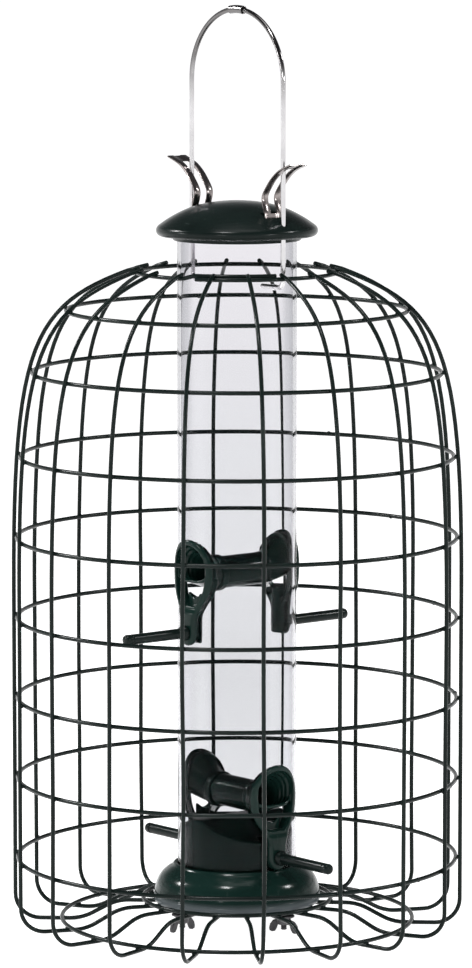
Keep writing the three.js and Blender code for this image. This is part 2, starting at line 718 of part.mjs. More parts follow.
function makeCapLiner() {
  const liner = turned([
    [0, LINER_CEILING],
    [LINER_RADIUS - LINER_WALL, LINER_CEILING],
    [LINER_RADIUS - LINER_WALL, LINER_BOTTOM],
    [LINER_RADIUS, LINER_BOTTOM],
    [LINER_RADIUS, LINER_CEILING + LINER_WALL],
    [0, LINER_CEILING + LINER_WALL],
  ]);
  addPiece('cap_liner', liner, darkGreenPaint);
}

// Side profile of a tab as (distance from the bail's leg, height): it leaves
// the cap inside the leg, bulges inwards, then flares out past the leg.
const TAB_PROFILE = [
  [7.9, 399.2], [8.2, 403.5], [9.8, 408.2], [10.3, 411.3], [9.5, 414],
  [6.6, 418], [2.2, 422.8], [-4, 427.2], [-13.6, 430.8],
];

function makeLatchTab(name, side) {
  const centre = TAB_PROFILE.map(([inward, z]) => new THREE.Vector2(BAIL_HALF_WIDTH - inward, z));
  const spine = new THREE.SplineCurve(centre).getPoints(14);
  const offset = (distance) => spine.map((point, i) => {
    const before = spine[Math.max(i - 1, 0)];
    const after = spine[Math.min(i + 1, spine.length - 1)];
    const along = after.clone().sub(before).normalize();
    return point.clone().add(new THREE.Vector2(-along.y, along.x).multiplyScalar(distance));
  });
  const outline = [...offset(TAB_THICKNESS / 2), ...offset(-TAB_THICKNESS / 2).reverse()];
  const strip = new THREE.ExtrudeGeometry(new THREE.Shape(outline), {
    depth: TAB_WIDTH, bevelEnabled: false,
  });
  strip.rotateX(Math.PI / 2).translate(0, TAB_WIDTH / 2, 0);
  const slot = box(
    [0, BAIL_HALF_WIDTH + TAB_SLOT_REACH],
    [-TAB_SLOT_WIDTH / 2, TAB_SLOT_WIDTH / 2],
    [TAB_SLOT_BOTTOM, TAB_SLOT_BOTTOM + 40],
  );
  const tab = fromManifold(toManifold(strip).subtract(toManifold(slot)));
  if (side < 0) tab.rotateZ(Math.PI);
  addPiece(name, tab, polishedSteel);
}

// ---------------------------------------------------------------------------
// Bail
// ---------------------------------------------------------------------------

function bailStations() {
  const leg = (side) => {
    const corner = [BAIL_HALF_WIDTH, BAIL_PIVOT_HEIGHT];
    const rounding = arc(
      [corner[0] - BAIL_CORNER_RADIUS, corner[1] + BAIL_CORNER_RADIUS],
      BAIL_CORNER_RADIUS, -90, 0, 2,
    );
    return [[BAIL_INNER_END, BAIL_PIVOT_HEIGHT], ...rounding]
      .map(([x, z]) => new THREE.Vector3(side * x, 0, z));
  };
  const arch = arc([0, BAIL_SPRING_LINE], BAIL_HALF_WIDTH, 0, 180, 16)
    .map(([x, z]) => new THREE.Vector3(x, 0, z));
  return [...leg(1), ...arch, ...leg(-1).reverse()];
}

function makeBail() {
  addPiece('bail', rod(bailStations(), BAIL_RADIUS), polishedSteel);
}

// A short sleeve on the top of the arch, where the feeder hangs.
function makeHangerSleeve() {
  const halfAngle = THREE.MathUtils.radToDeg(SLEEVE_HALF_LENGTH / BAIL_HALF_WIDTH);
  const sweep = (radius, sides, extraDeg) => rod(
    arc([0, BAIL_SPRING_LINE], BAIL_HALF_WIDTH, 90 - halfAngle - extraDeg, 90 + halfAngle + extraDeg, 2)
      .map(([x, z]) => new THREE.Vector3(x, 0, z)),
    radius,
    sides,
  );
  const sleeve = toManifold(sweep(SLEEVE_RADIUS, 10, 0))
    .subtract(toManifold(sweep(BAIL_RADIUS + GAP, 10, 2)));
  addPiece('hanger_sleeve', fromManifold(sleeve), polishedSteel);
}

// ---------------------------------------------------------------------------
// Cage screws, washers and wing nuts
// ---------------------------------------------------------------------------

const washerTop = HUB_HEIGHT - WIRE_RADIUS - GAP;
const nutTop = washerTop - WASHER_THICKNESS - GAP;

function placeAtScrew(geometry, angleDeg) {
  return geometry.translate(SCREW_CIRCLE_RADIUS, 0, 0).rotateZ(rad(angleDeg));
}

function makeScrew(number, angleDeg) {
  const headBottom = housingBottom + SCREW_SEAT + GAP / 2;
  const screw = turned([
    [0, SCREW_END_HEIGHT],
    [SCREW_RADIUS - 0.4, SCREW_END_HEIGHT],
    [SCREW_RADIUS, SCREW_END_HEIGHT + 0.5],
    [SCREW_RADIUS, headBottom],
    [SCREW_HEAD_RADIUS, headBottom],
    [SCREW_HEAD_RADIUS, headBottom + SCREW_HEAD_HEIGHT],
    [0, headBottom + SCREW_HEAD_HEIGHT],
  ], 10);
  addPiece(`cage_screw_${number}`, placeAtScrew(screw, angleDeg), darkZinc);
}

function makeWasher(number, angleDeg) {
  const washer = turned([
    [SCREW_RADIUS + GAP, washerTop - WASHER_THICKNESS],
    [WASHER_RADIUS, washerTop - WASHER_THICKNESS],
    [WASHER_RADIUS, washerTop],
    [SCREW_RADIUS + GAP, washerTop],
  ], 12);
  addPiece(`washer_${number}`, placeAtScrew(washer, angleDeg), darkZinc);
}

// Hub against the washer, with two wings splayed down and outwards.
function makeWingNut(number, angleDeg, turnDeg) {
  const hubBottom = nutTop - NUT_HUB_HEIGHT;
  const wing = new THREE.Shape();
  wing.moveTo(2.6, nutTop - 0.4);
  wing.lineTo(NUT_HUB_RADIUS + 0.4, nutTop - 1);
  wing.quadraticCurveTo(NUT_WING_SPAN - 1.2, hubBottom + 1.2, NUT_WING_SPAN, NUT_TIP_HEIGHT + 2.4);
  wing.quadraticCurveTo(NUT_WING_SPAN, NUT_TIP_HEIGHT, NUT_WING_SPAN - 2.4, NUT_TIP_HEIGHT);
  wing.quadraticCurveTo(NUT_WING_SPAN - 3.6, NUT_TIP_HEIGHT + 0.6, NUT_HUB_RADIUS + 0.6, hubBottom + 0.2);
  wing.lineTo(2.6, hubBottom);
  const wings = [0, Math.PI].map((turn) => {
    const plate = new THREE.ExtrudeGeometry(wing, {
      depth: NUT_WING_THICKNESS, bevelEnabled: false, curveSegments: 3,
    });
    plate.rotateX(Math.PI / 2).translate(0, NUT_WING_THICKNESS / 2, 0);
    return toManifold(plate.rotateZ(turn));
  });
  const hub = toManifold(turned([
    [0, hubBottom],
    [NUT_HUB_RADIUS - 0.7, hubBottom],
    [NUT_HUB_RADIUS, nutTop - 0.6],
    [NUT_HUB_RADIUS, nutTop],
    [0, nutTop],
  ], 10));
  const bore = toManifold(cylinder(SCREW_RADIUS + GAP, -5, 20, 10));
  const nut = fromManifold(hub.add(wings[0]).add(wings[1]).subtract(bore));
  nut.rotateZ(rad(turnDeg - angleDeg));
  addPiece(`wing_nut_${number}`, placeAtScrew(nut, angleDeg), darkZinc);
}

// ---------------------------------------------------------------------------
// Assembly
// ---------------------------------------------------------------------------

makeUprights();
makeRings();
makeCollar();
makeHousing();
makePlug();
makeTube();
portFrame.forEach(makePort);
portFrame.forEach(makePerch);
makeBail();
makeHangerSleeve();
makeCapDome();
makeCapLiner();
makeLatchTab('latch_tab_front', 1);
makeLatchTab('latch_tab_back', -1);
SCREW_ANGLES_DEG.forEach((angleDeg, i) => {
  makeScrew(i + 1, angleDeg);
  makeWasher(i + 1, angleDeg);
  makeWingNut(i + 1, angleDeg, NUT_TURNS_DEG[i]);
});

export default feeder;
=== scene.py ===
"""Caged tube bird feeder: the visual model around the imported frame.

Lengths are in millimetres until a mesh is made, and then in metres. +Z is up. +X points along the
lower pair of ports and through both legs of the bail; the upper pair of ports lies along Y.
"""
import math

import bmesh
import bpy
import numpy as np
from mathutils import Matrix, Vector, noise


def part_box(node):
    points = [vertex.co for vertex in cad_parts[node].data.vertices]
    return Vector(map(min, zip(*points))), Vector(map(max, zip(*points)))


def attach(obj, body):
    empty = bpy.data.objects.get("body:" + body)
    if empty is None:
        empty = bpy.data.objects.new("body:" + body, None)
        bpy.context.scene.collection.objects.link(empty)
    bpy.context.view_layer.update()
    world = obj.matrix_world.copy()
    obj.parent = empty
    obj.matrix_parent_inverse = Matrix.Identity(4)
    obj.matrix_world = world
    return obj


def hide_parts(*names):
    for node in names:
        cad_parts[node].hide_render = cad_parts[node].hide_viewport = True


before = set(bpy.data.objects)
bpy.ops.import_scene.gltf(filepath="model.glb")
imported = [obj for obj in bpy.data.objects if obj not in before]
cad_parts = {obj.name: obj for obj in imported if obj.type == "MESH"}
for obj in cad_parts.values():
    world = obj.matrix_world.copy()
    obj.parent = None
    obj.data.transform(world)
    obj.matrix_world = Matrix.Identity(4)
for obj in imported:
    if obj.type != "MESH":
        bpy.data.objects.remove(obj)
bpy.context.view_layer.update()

MM = 0.001
TAU = 2 * math.pi


# ----- Measurements taken from the frame -----

def low(node):
    return np.array(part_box(node)[0]) / MM


def high(node):
    return np.array(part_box(node)[1]) / MM


def middle(node):
    return (low(node) + high(node)) / 2


WIRE = 1.2  # radius of the cage wires
UPRIGHTS = 18
PHASE = math.radians(6.8)
CAGE_RADIUS = 125.8
WELD_OFFSET = 2.55  # wire centre to ring centre where they are welded
FLOOR_Z = low("cage_upright_01")[2] + WIRE
RING_NODES = [f"cage_ring_{i}" for i in range(1, 9)]
RING_Z = [middle(n)[2] for n in RING_NODES]
HUB_RING_RISE = 2.7  # hub ring centre above the centre of the floor wires
HUB_Z = middle("hub_ring_outer")[2] - HUB_RING_RISE
HUB_RING_RADIUS = 53.0
HUB_INNER_RADIUS = 22.0
FLOOR_RING_RADIUS = 99.0
COLLAR_RADIUS = 55.7
COLLAR_Z = low("collar_ring")[2] + WIRE
COLLAR_START = math.radians(-63.7)
COLLAR_LAP = math.radians(48)
COLLAR_LAP_INSET = 2.65

TUBE_RADIUS = 33.4
TUBE_WALL = 2.0
TUBE_BOTTOM = low("seed_tube")[2]
TUBE_TOP = high("seed_tube")[2]
HOUSING_LOW = low("base_housing")[2]
HOUSING_HIGH = high("base_housing")[2]
HOUSING_RADIUS = high("base_housing")[0]

PERCH_Z = {"lower": middle("lower_perch_front")[2], "upper": middle("upper_perch_front")[2]}
PERCH_TIP = high("lower_perch_front")[0]
PORTS = {
    "lower_front": 0.0, "lower_back": 180.0,
    "upper_front": -90.0, "upper_back": 90.0,
}

CAP_RADIUS = high("cap_dome")[0]
CAP_TOP = high("cap_dome")[2]
CAP_LOW = low("cap_dome")[2]
LINER_LOW = low("cap_liner")[2]
LINER_RADIUS = high("cap_liner")[0]
BAIL_HALF_WIDTH = 39.7
BAIL_WIRE = 1.4
BAIL_TOP = high("bail")[2] - BAIL_WIRE
BAIL_PIVOT = low("bail")[2] + BAIL_WIRE
SPRING_LINE = BAIL_TOP - BAIL_HALF_WIDTH
BAIL_HOLE = 1.7  # radius of the holes in the tube
SLEEVE_RADIUS, SLEEVE_BORE = 2.35, 1.72


# ----- Mesh helpers -----

def around(radius, angle, height):
    return radius * math.cos(angle), radius * math.sin(angle), height


def mesh_object(name, vertices, faces, smooth=True, sharp_degrees=None):
    mesh = bpy.data.meshes.new(name)
    mesh.from_pydata([tuple(float(c) * MM for c in v) for v in vertices], [], faces)
    mesh.validate()
    if smooth:
        mesh.polygons.foreach_set("use_smooth", [True] * len(mesh.polygons))
    obj = bpy.data.objects.new(name, mesh)
    bpy.context.scene.collection.objects.link(obj)
    if sharp_degrees is not None:
        mesh.set_sharp_from_angle(angle=math.radians(sharp_degrees))
    return obj


def finish_piece(obj, body, look, node):
    """Gives a piece the material of its look, a pair of slot and material (the slot is not used), puts it in
    its body and hides the node it replaces.
    """
    slot, material = look
    obj.data.materials.clear()
    obj.data.materials.append(material)
    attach(obj, body)
    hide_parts(node)


def merged(parts):
    """One vertex and face list from several."""
    vertices, faces = [], []
    for part_vertices, part_faces in parts:
        start = len(vertices)
        vertices.extend(part_vertices)
        faces.extend([tuple(i + start for i in f) for f in part_faces])
    return vertices, faces


def band(first, second, count):
    """Quads between two rings of vertices, from the index at which each ring starts."""
    return [(first + k, first + (k + 1) % count, second + (k + 1) % count, second + k) for k in range(count)]


def sweep(points, radius, sides, closed=False, dome_ends=True):
    """A round wire along points; radius is one number, or one for each point."""
    path = [Vector(p) for p in points]
    count = len(path)
    tangents = []
    for i in range(count):
        if closed:
            t = path[(i + 1) % count] - path[i - 1]
        else:
            t = path[min(i + 1, count - 1)] - path[max(i - 1, 0)]
        tangents.append(t.normalized())
    start = Vector((0, 0, 1)) if abs(tangents[0].z) < 0.8 else Vector((1, 0, 0))
    normal = (start - tangents[0] * start.dot(tangents[0])).normalized()
    normals = [normal]
    for i in range(1, count):
        turn = tangents[i - 1].rotation_difference(tangents[i])
        normal = turn @ normals[-1]
        normal = (normal - tangents[i] * normal.dot(tangents[i])).normalized()
        normals.append(normal)
    twist = 0.0
    if closed:
        back = tangents[-1].rotation_difference(tangents[0]) @ normals[-1]
        cross = back.cross(normals[0]).dot(tangents[0])
        twist = math.atan2(cross, back.dot(normals[0]))
    rings = []
    radii = radius if hasattr(radius, "__len__") else [radius] * count
    for i in range(count):
        side = tangents[i].cross(normals[i])
        shift = twist * i / count
        ring = []
        for k in range(sides):
            a = TAU * k / sides + shift
            ring.append(path[i] + (normals[i] * math.cos(a) + side * math.sin(a)) * radii[i])
        rings.append(ring)
    if not closed and dome_ends:
        for end, sign in ((0, -1), (-1, 1)):
            centre, t, r = path[end], tangents[end] * sign, radii[end]
            outer = rings[end]
            extra = []
            for share, reach in ((0.92, 0.16), (0.7, 0.28)):
                extra.append([centre + (p - centre) * share + t * (r * reach) for p in outer])
            if end == 0:
                rings = [extra[1], extra[0]] + rings
            else:
                rings = rings + extra
    vertices = [p for ring in rings for p in ring]
    faces = []
    total = len(rings)
    for i in range(total if closed else total - 1):
        faces.extend(band(i * sides, (i + 1) % total * sides, sides))
    if not closed:
        faces.append(tuple(range(sides - 1, -1, -1)))
        last = (total - 1) * sides
        faces.append(tuple(range(last, last + sides)))
    return vertices, faces


def turned(profile, segments, axis="z"):
    """Profile of (radius, height) pairs turned about an axis; a radius of 0 closes it."""
    rings, vertices, faces = [], [], []
    for r, z in profile:
        if r < 1e-6:
            rings.append([len(vertices)])
            vertices.append((0.0, 0.0, z))
        else:
            rings.append(list(range(len(vertices), len(vertices) + segments)))
            vertices.extend(around(r, TAU * k / segments, z) for k in range(segments))
    closed = profile[0][0] > 1e-6 or profile[-1][0] > 1e-6
    count = len(rings)
    for i in range(count if closed else count - 1):
        a, b = rings[i], rings[(i + 1) % count]
        for k in range(segments):
            m = (k + 1) % segments
            if len(a) == 1:
                faces.append((a[0], b[m], b[k]))
            elif len(b) == 1:
                faces.append((a[k], a[m], b[0]))
            else:
                faces.append((a[k], a[m], b[m], b[k]))
    if axis == "x":
        vertices = [(z, x, y) for x, y, z in vertices]
    return vertices, faces


def rounded(profile, fillets, steps):
    """An open profile with some corners rounded: fillets maps a corner's index to its radius."""
    result = []
    for i, point in enumerate(profile):
        r = fillets.get(i)
        if r is None:
            result.append(point)
            continue
        p = Vector(point)
        a = Vector(profile[i - 1]) - p
        b = Vector(profile[i + 1]) - p
        reach = min(r, a.length * 0.45, b.length * 0.45)
        start, end = p + a.normalized() * reach, p + b.normalized() * reach
        for s in range(steps + 1):
            t = s / steps
            q = start * (1 - t) ** 2 + p * 2 * t * (1 - t) + end * t * t
            result.append((q.x, q.y))
    return result


def placed(parts, turn_degrees, offset):
    vertices, faces = parts
    m = Matrix.Translation(Vector(offset)) @ Matrix.Rotation(math.radians(turn_degrees), 4, "Z")
    return [tuple(m @ Vector(v)) for v in vertices], faces


def recalculated(obj):
    b = bmesh.new()
    b.from_mesh(obj.data)
    bmesh.ops.recalc_face_normals(b, faces=b.faces)
    b.to_mesh(obj.data)
    b.free()
    return obj


def cut(obj, *cutters):
    """Cuts closed cutters out of obj and leaves one applied mesh with its sharp edges marked."""
    for cutter in cutters:
        modifier = obj.modifiers.new("cut", "BOOLEAN")
        modifier.operation = "DIFFERENCE"
        modifier.solver = "EXACT"
        modifier.object = cutter
    bpy.context.view_layer.update()
    graph = bpy.context.evaluated_depsgraph_get()
    result = bpy.data.meshes.new_from_object(obj.evaluated_get(graph))
    obj.modifiers.clear()
    obj.data = result
    result.set_sharp_from_angle(angle=math.radians(35))
    for cutter in cutters:
        bpy.data.objects.remove(cutter)
    return obj


# --- shapes from distance functions ----------------------------------------

def smooth_min(a, b, k):
    h = np.clip(0.5 + 0.5 * (b - a) / k, 0, 1)
    return b + (a - b) * h - k * h * (1 - h)


def smooth_max(a, b, k):
    return -smooth_min(-a, -b, k)


def polygon_distance(points, u, v):
    """Signed distance from (u, v) to a closed polygon."""
    best = np.full(np.broadcast(u, v).shape, 1e9)
    inside = np.zeros(best.shape, bool)
    count = len(points)
    for i in range(count):
        (ax, ay), (bx, by) = points[i], points[(i + 1) % count]
        ex, ey = bx - ax, by - ay
        wx, wy = u - ax, v - ay
        t = np.clip((wx * ex + wy * ey) / (ex * ex + ey * ey + 1e-12), 0, 1)
        best = np.minimum(best, (wx - ex * t) ** 2 + (wy - ey * t) ** 2)
        crosses = (ay > v) != (by > v)
        slope = ax + (v - ay) * ex / (ey if abs(ey) > 1e-12 else 1e-12)
        inside ^= crosses & (u < slope)
    distance = np.sqrt(best)
    return np.where(inside, -distance, distance)


def surface_net(field, lower, upper, step):
    """Closed quad mesh of the surface where field is 0, with each vertex moved onto it."""
    axes = [np.arange(lower[i], upper[i] + step, step) for i in range(3)]
    x, y, z = axes[0][:, None, None], axes[1][None, :, None], axes[2][None, None, :]
    f = np.broadcast_to(field(x, y, z), [len(a) for a in axes]).copy()
    inside = f < 0
    cells = tuple(n - 1 for n in f.shape)
    total = np.zeros(cells + (3,))
    crossings = np.zeros(cells)
    quads = []
    for axis in range(3):
        others = [k for k in range(3) if k != axis]
        a = [slice(None)] * 3
        b = [slice(None)] * 3
        a[axis], b[axis] = slice(0, -1), slice(1, None)
        fa, fb = f[tuple(a)], f[tuple(b)]
        mask = inside[tuple(a)] != inside[tuple(b)]
        t = np.where(mask, fa / np.where(fa == fb, 1, fa - fb), 0)
        for da in (0, 1):
            for db in (0, 1):
                window = [slice(None)] * 3
                window[others[0]] = slice(da, da + cells[others[0]])
                window[others[1]] = slice(db, db + cells[others[1]])
                m = mask[tuple(window)]
                crossings += m
                total[..., axis] += np.where(m, t[tuple(window)], 0)
                total[..., others[0]] += m * da
                total[..., others[1]] += m * db
        found = np.argwhere(mask)
        keep = np.all(found[:, others] > 0, axis=1)
        for k in others:
            keep &= found[:, k] < f.shape[k] - 1
        found = found[keep]
        forward = inside[tuple(a)][tuple(found.T)]
        corners = []
        for da, db in ((0, 0), (-1, 0), (-1, -1), (0, -1)):
            c = found.copy()
            c[:, others[0]] += da
            c[:, others[1]] += db
            corners.append(c)
        quads.append((corners, forward if axis != 1 else ~forward))
    used = crossings > 0
    index = np.full(cells, -1)
    index[used] = np.arange(used.sum())
    place = np.argwhere(used)
    points = place + total[used] / crossings[used][:, None]
    points = points * step + np.array(lower)[None, :]
    faces = []
    for corners, forward in quads:
        ids = np.stack([index[tuple(c.T)] for c in corners], 1)
        ids = np.where(forward[:, None], ids, ids[:, ::-1])
        faces.extend(ids.tolist())

    def gradient(p):
        e = step * 0.2
        g = np.zeros_like(p)
        for k in range(3):
            d = np.zeros(3)
            d[k] = e
            q, r = p + d, p - d
            g[:, k] = field(q[:, 0], q[:, 1], q[:, 2]) - field(r[:, 0], r[:, 1], r[:, 2])
        return g / (np.linalg.norm(g, axis=1)[:, None] + 1e-12)

    for _ in range(3):
        n = gradient(points)
        value = np.clip(field(points[:, 0], points[:, 1], points[:, 2]), -step * 0.5, step * 0.5)
        points = points - n * value[:, None] * 0.8
    return points, faces, gradient(points)


def net_object(name, net, turn_degrees, offset):
    points, faces, normals = net
    a = math.radians(turn_degrees)
    m = np.array([[math.cos(a), -math.sin(a), 0], [math.sin(a), math.cos(a), 0], [0, 0, 1]])
    obj = mesh_object(name, points @ m.T + np.array(offset), faces)
    if len(obj.data.vertices) == len(points):
        obj.data.normals_split_custom_set_from_vertices([tuple(n) for n in normals @ m.T])
    return obj


# ----- Materials -----

class Nodes:
    """A material's node tree, with short calls for the nodes used here."""

    def __init__(self, name):
        self.material = bpy.data.materials.new(name)
        self.material.use_nodes = True
        self.tree = self.material.node_tree
        self.tree.nodes.clear()
        out = self.add("ShaderNodeOutputMaterial")
        self.shader = self.add("ShaderNodeBsdfPrincipled")
        self.tree.links.new(self.shader.outputs["BSDF"], out.inputs["Surface"])
        self.coords = self.add("ShaderNodeTexCoord").outputs["Object"]

    def add(self, kind, **inputs):
        node = self.tree.nodes.new(kind)
        self.fill(node, inputs)
        return node

    def feed(self, socket, value):
        if isinstance(value, bpy.types.NodeSocket):
            self.tree.links.new(value, socket)
        else:
            socket.default_value = value

    def fill(self, node, inputs):
        """Feeds inputs named with underscores for the spaces in a socket's name."""
        for key, value in inputs.items():
            self.feed(node.inputs[key.replace("_", " ")], value)

    def set(self, **inputs):
        self.fill(self.shader, inputs)

    def noise(self, scale, detail, roughness=0.5, stretch=None):
        vector = self.coords
        if stretch is not None:
            vector = self.add("ShaderNodeMapping", Vector=vector, Scale=stretch).outputs["Vector"]
        node = self.add(
            "ShaderNodeTexNoise", Vector=vector, Scale=scale, Detail=detail, Roughness=roughness,
        )
        return node.outputs["Fac"]

    def ramp(self, value, *stops):
        node = self.add("ShaderNodeValToRGB", Fac=value)
        elements = node.color_ramp.elements
        for i, (position, colour) in enumerate(stops):
            element = elements[i] if i < 2 else elements.new(position)
            element.position = position
            if not hasattr(colour, "__len__"):
                colour = (colour, colour, colour)
            element.color = tuple(colour) + (1.0,)
        return node.outputs["Color"]

    def span(self, value, lowest, highest):
        node = self.add("ShaderNodeMapRange", Value=value, To_Min=lowest, To_Max=highest)
        return node.outputs["Result"]

    def bump(self, height, strength, distance, under=None):
        node = self.add("ShaderNodeBump", Height=height, Strength=strength, Distance=distance)
        if under is not None:
            self.feed(node.inputs["Normal"], under)
        return node.outputs["Normal"]

    def height(self):
        """Height in metres, from the piece's own coordinates."""
        return self.add("ShaderNodeSeparateXYZ", Vector=self.coords).outputs["Z"]

    def mix(self, factor, a, b):
        """Mix of two colours, each a socket or a tuple of four."""
        node = self.tree.nodes.new("ShaderNodeMix")
        node.data_type = "RGBA"
        factor_socket, a_socket, b_socket = (node.inputs[i] for i in (0, 6, 7))
        self.feed(factor_socket, factor)
        self.feed(a_socket, a)
        self.feed(b_socket, b)
        return node.outputs[2]


def paint_material():
    n = Nodes("dark_green_paint")
    broad = n.noise(38.0, 3.0)
    fine = n.noise(420.0, 2.0)
    colour = n.ramp(broad, (0.3, (0.0040, 0.0075, 0.0068)), (0.7, (0.0070, 0.0125, 0.0112)))
    worn = n.ramp(n.noise(260.0, 5.0, 0.65), (0.66, 0.0), (0.74, 1.0))
    colour = n.mix(worn, colour, (0.018, 0.026, 0.024, 1.0))
    n.set(Base_Color=colour)
    n.set(Roughness=n.span(n.noise(90.0, 4.0), 0.16, 0.30))
    n.set(Metallic=0.0, IOR=1.22)
    n.set(Normal=n.bump(fine, 0.12, 0.0002, n.bump(n.noise(110.0, 2.0), 0.10, 0.0006)))
    return n.material


def moulding_material():
    n = Nodes("dark_green_moulding")
    colour = n.ramp(
        n.noise(30.0, 4.0), (0.3, (0.0034, 0.0125, 0.0100)), (0.7, (0.0060, 0.0200, 0.0165)),
    )
    scuffs = n.ramp(n.noise(300.0, 4.0, 0.6, stretch=(1.0, 1.0, 0.18)), (0.62, 0.0), (0.75, 1.0))
    colour = n.mix(scuffs, colour, (0.014, 0.027, 0.024, 1.0))
    height = n.height()
    # The foot is painted paler, a painted reflection of the floor, and the skirt just above it has its
    # specular turned down.
    foot = n.ramp(height, (0.0158, 0.90), (0.0165, 0.0))
    # painted reflection: the foot's colour is mixed towards pale grey
    colour = n.mix(foot, colour, (0.105, 0.120, 0.128, 1.0))
    n.set(Base_Color=colour)
    n.set(Roughness=n.span(n.noise(70.0, 4.0), 0.10, 0.22))
    n.set(Metallic=0.0, IOR=1.25)
    shine = n.ramp(height, (0.0165, 0.5), (0.0172, 0.10), (0.0200, 0.10), (0.0225, 0.5))
    n.set(Specular_IOR_Level=shine)
    n.set(Normal=n.bump(n.noise(160.0, 3.0), 0.10, 0.0004))
    return n.material


TUBE_PAINTED_LIGHT_TOP = 0.40  # height in metres where the tube's painted light ramp ends


def tube_material():
    """Painted light: tinted darker towards the bottom and lighter towards the top, with paler and darker
    bands by the angle it is seen at, in place of how light falls through the tube.
    """
    n = Nodes("clear_tube")
    streaks = n.noise(22.0, 3.0, 0.5, stretch=(1.0, 1.0, 0.12))
    height = n.height()
    painted_light_height = n.add("ShaderNodeMapRange", Value=height, From_Max=TUBE_PAINTED_LIGHT_TOP)
    # painted light: the tint is darker low down and lighter towards the top
    body = n.ramp(
        painted_light_height.outputs["Result"], (0.35, (0.665, 0.669, 0.681)), (0.67, (0.784, 0.787, 0.802)),
        (0.95, (0.894, 0.883, 0.903)),
    )
    body = n.mix(n.span(streaks, 0.0, 0.30), body, (0.76, 0.76, 0.78, 1.0))
    turn = n.add("ShaderNodeLayerWeight", Blend=0.5).outputs["Facing"]
    # painted sheen: a paler band towards the tube's edges
    painted_sheen_band = n.ramp(turn, (0.12, 0.0), (0.20, 0.08), (0.28, 0.05), (0.34, 0.0))
    body = n.mix(painted_sheen_band, body, (0.95, 0.95, 0.97, 1.0))
    # painted shade: darker tint at the tube's very edges
    painted_edge_band = n.ramp(turn, (0.34, 0.0), (0.44, 0.85))
    painted_edge_shade = n.ramp(turn, (0.60, (0.70, 0.70, 0.72)), (0.75, (0.52, 0.52, 0.54)))
    n.set(Base_Color=n.mix(painted_edge_band, body, painted_edge_shade))
    n.set(Roughness=n.span(n.noise(60.0, 5.0, 0.6), 0.01, 0.05))
    n.set(Metallic=0.0, IOR=1.06, Transmission_Weight=1.0)
    n.set(Normal=n.bump(n.noise(14.0, 2.0, 0.5, stretch=(1.0, 1.0, 0.15)), 0.05, 0.001))
    return n.material


def steel_material(name, dark, bright, smooth, rough):
    """Steel, with the arch of the bail painted darker, a painted reflection of the dark room above."""
    n = Nodes(name)
    colour = n.ramp(n.noise(55.0, 3.0), (0.3, dark), (0.7, bright))
    height = n.height()
    # painted reflection: the steel above this height is painted dark
    painted_dark_reflection = n.ramp(height, (0.462, 0.0), (0.488, 1.0))
    n.set(Base_Color=n.mix(painted_dark_reflection, colour, (0.15, 0.145, 0.145, 1.0)))
    scratches = n.noise(520.0, 4.0, 0.6, stretch=(1.0, 1.0, 0.1))
    n.set(Metallic=1.0, Roughness=n.span(scratches, smooth, rough))
    n.set(Normal=n.bump(scratches, 0.05, 0.0001))
    return n.material


def zinc_material():
    n = Nodes("dark_zinc")
    colour = n.ramp(
        n.noise(140.0, 4.0), (0.3, (0.045, 0.045, 0.048)), (0.7, (0.110, 0.108, 0.112)),
    )
    n.set(Base_Color=colour)
    n.set(Metallic=0.75, Roughness=n.span(n.noise(210.0, 4.0), 0.38, 0.60))
    n.set(Normal=n.bump(n.noise(700.0, 3.0), 0.25, 0.0002))
    return n.material


PAINT = ("dark_green_paint", paint_material())
MOULDING = ("dark_green_moulding", moulding_material())
TUBE = ("clear_tube", tube_material())
bail_steel = steel_material("bright_steel", (0.62, 0.61, 0.62), (0.76, 0.75, 0.76), 0.06, 0.19)
# The tabs' steel is a darker copy of the bail's, a painted reflection of the dark surroundings.
tab_steel_painted_dark = steel_material("tab_steel_painted_dark", (0.23, 0.205, 0.20), (0.33, 0.30, 0.29), 0.16, 0.28)
STEEL, TAB_STEEL_PAINTED_DARK = ("polished_steel", bail_steel), ("polished_steel", tab_steel_painted_dark)
ZINC = ("dark_zinc", zinc_material())


# ----- Wire cage -----

DOME_BEZIER = [(CAGE_RADIUS, 190.0), (CAGE_RADIUS, 335.0), (112.0, 351.0), (54.5, 371.6)]
UPRIGHT_END_Z = 370.9  # the welded ends are pressed level
INNER_END, HUB_END, STEP_END = 18.0, 68.0, 88.0  # radii along a floor wire
STEP_FILLET = 7.0
FOOT_BEND = 14.0  # radius of the bend from the floor to the side
SIDE_START, SIDE_END, SIDE_STEP = 30.0, 186.0, 12.0
SWAY, SWAY_START, SWAY_SPAN = 0.9, 20, 60  # the sideways bend grows with the radius
BEAD_LENGTH, BEAD_WIDTH = 1.15, 1.3
SEAM_PLACE = 0.37  # share of the way from one upright to the next
SEAM_BEAD = [(-0.9, 1.16), (-0.45, 1.36), (0.0, 1.42), (0.45, 1.36), (0.9, 1.16)]  # (along, radius)
SIDE_RING_LIMIT = 225  # rings below this height have the cage's full radius
COLLAR_WELD = 2.45  # from the collar's centre to about that of the wires on it


def bezier(points, t):
    s = 1 - t
    weights = (s ** 3, 3 * s * s * t, 3 * s * t * t, t ** 3)
    return tuple(sum(w * p[k] for w, p in zip(weights, points)) for k in (0, 1))


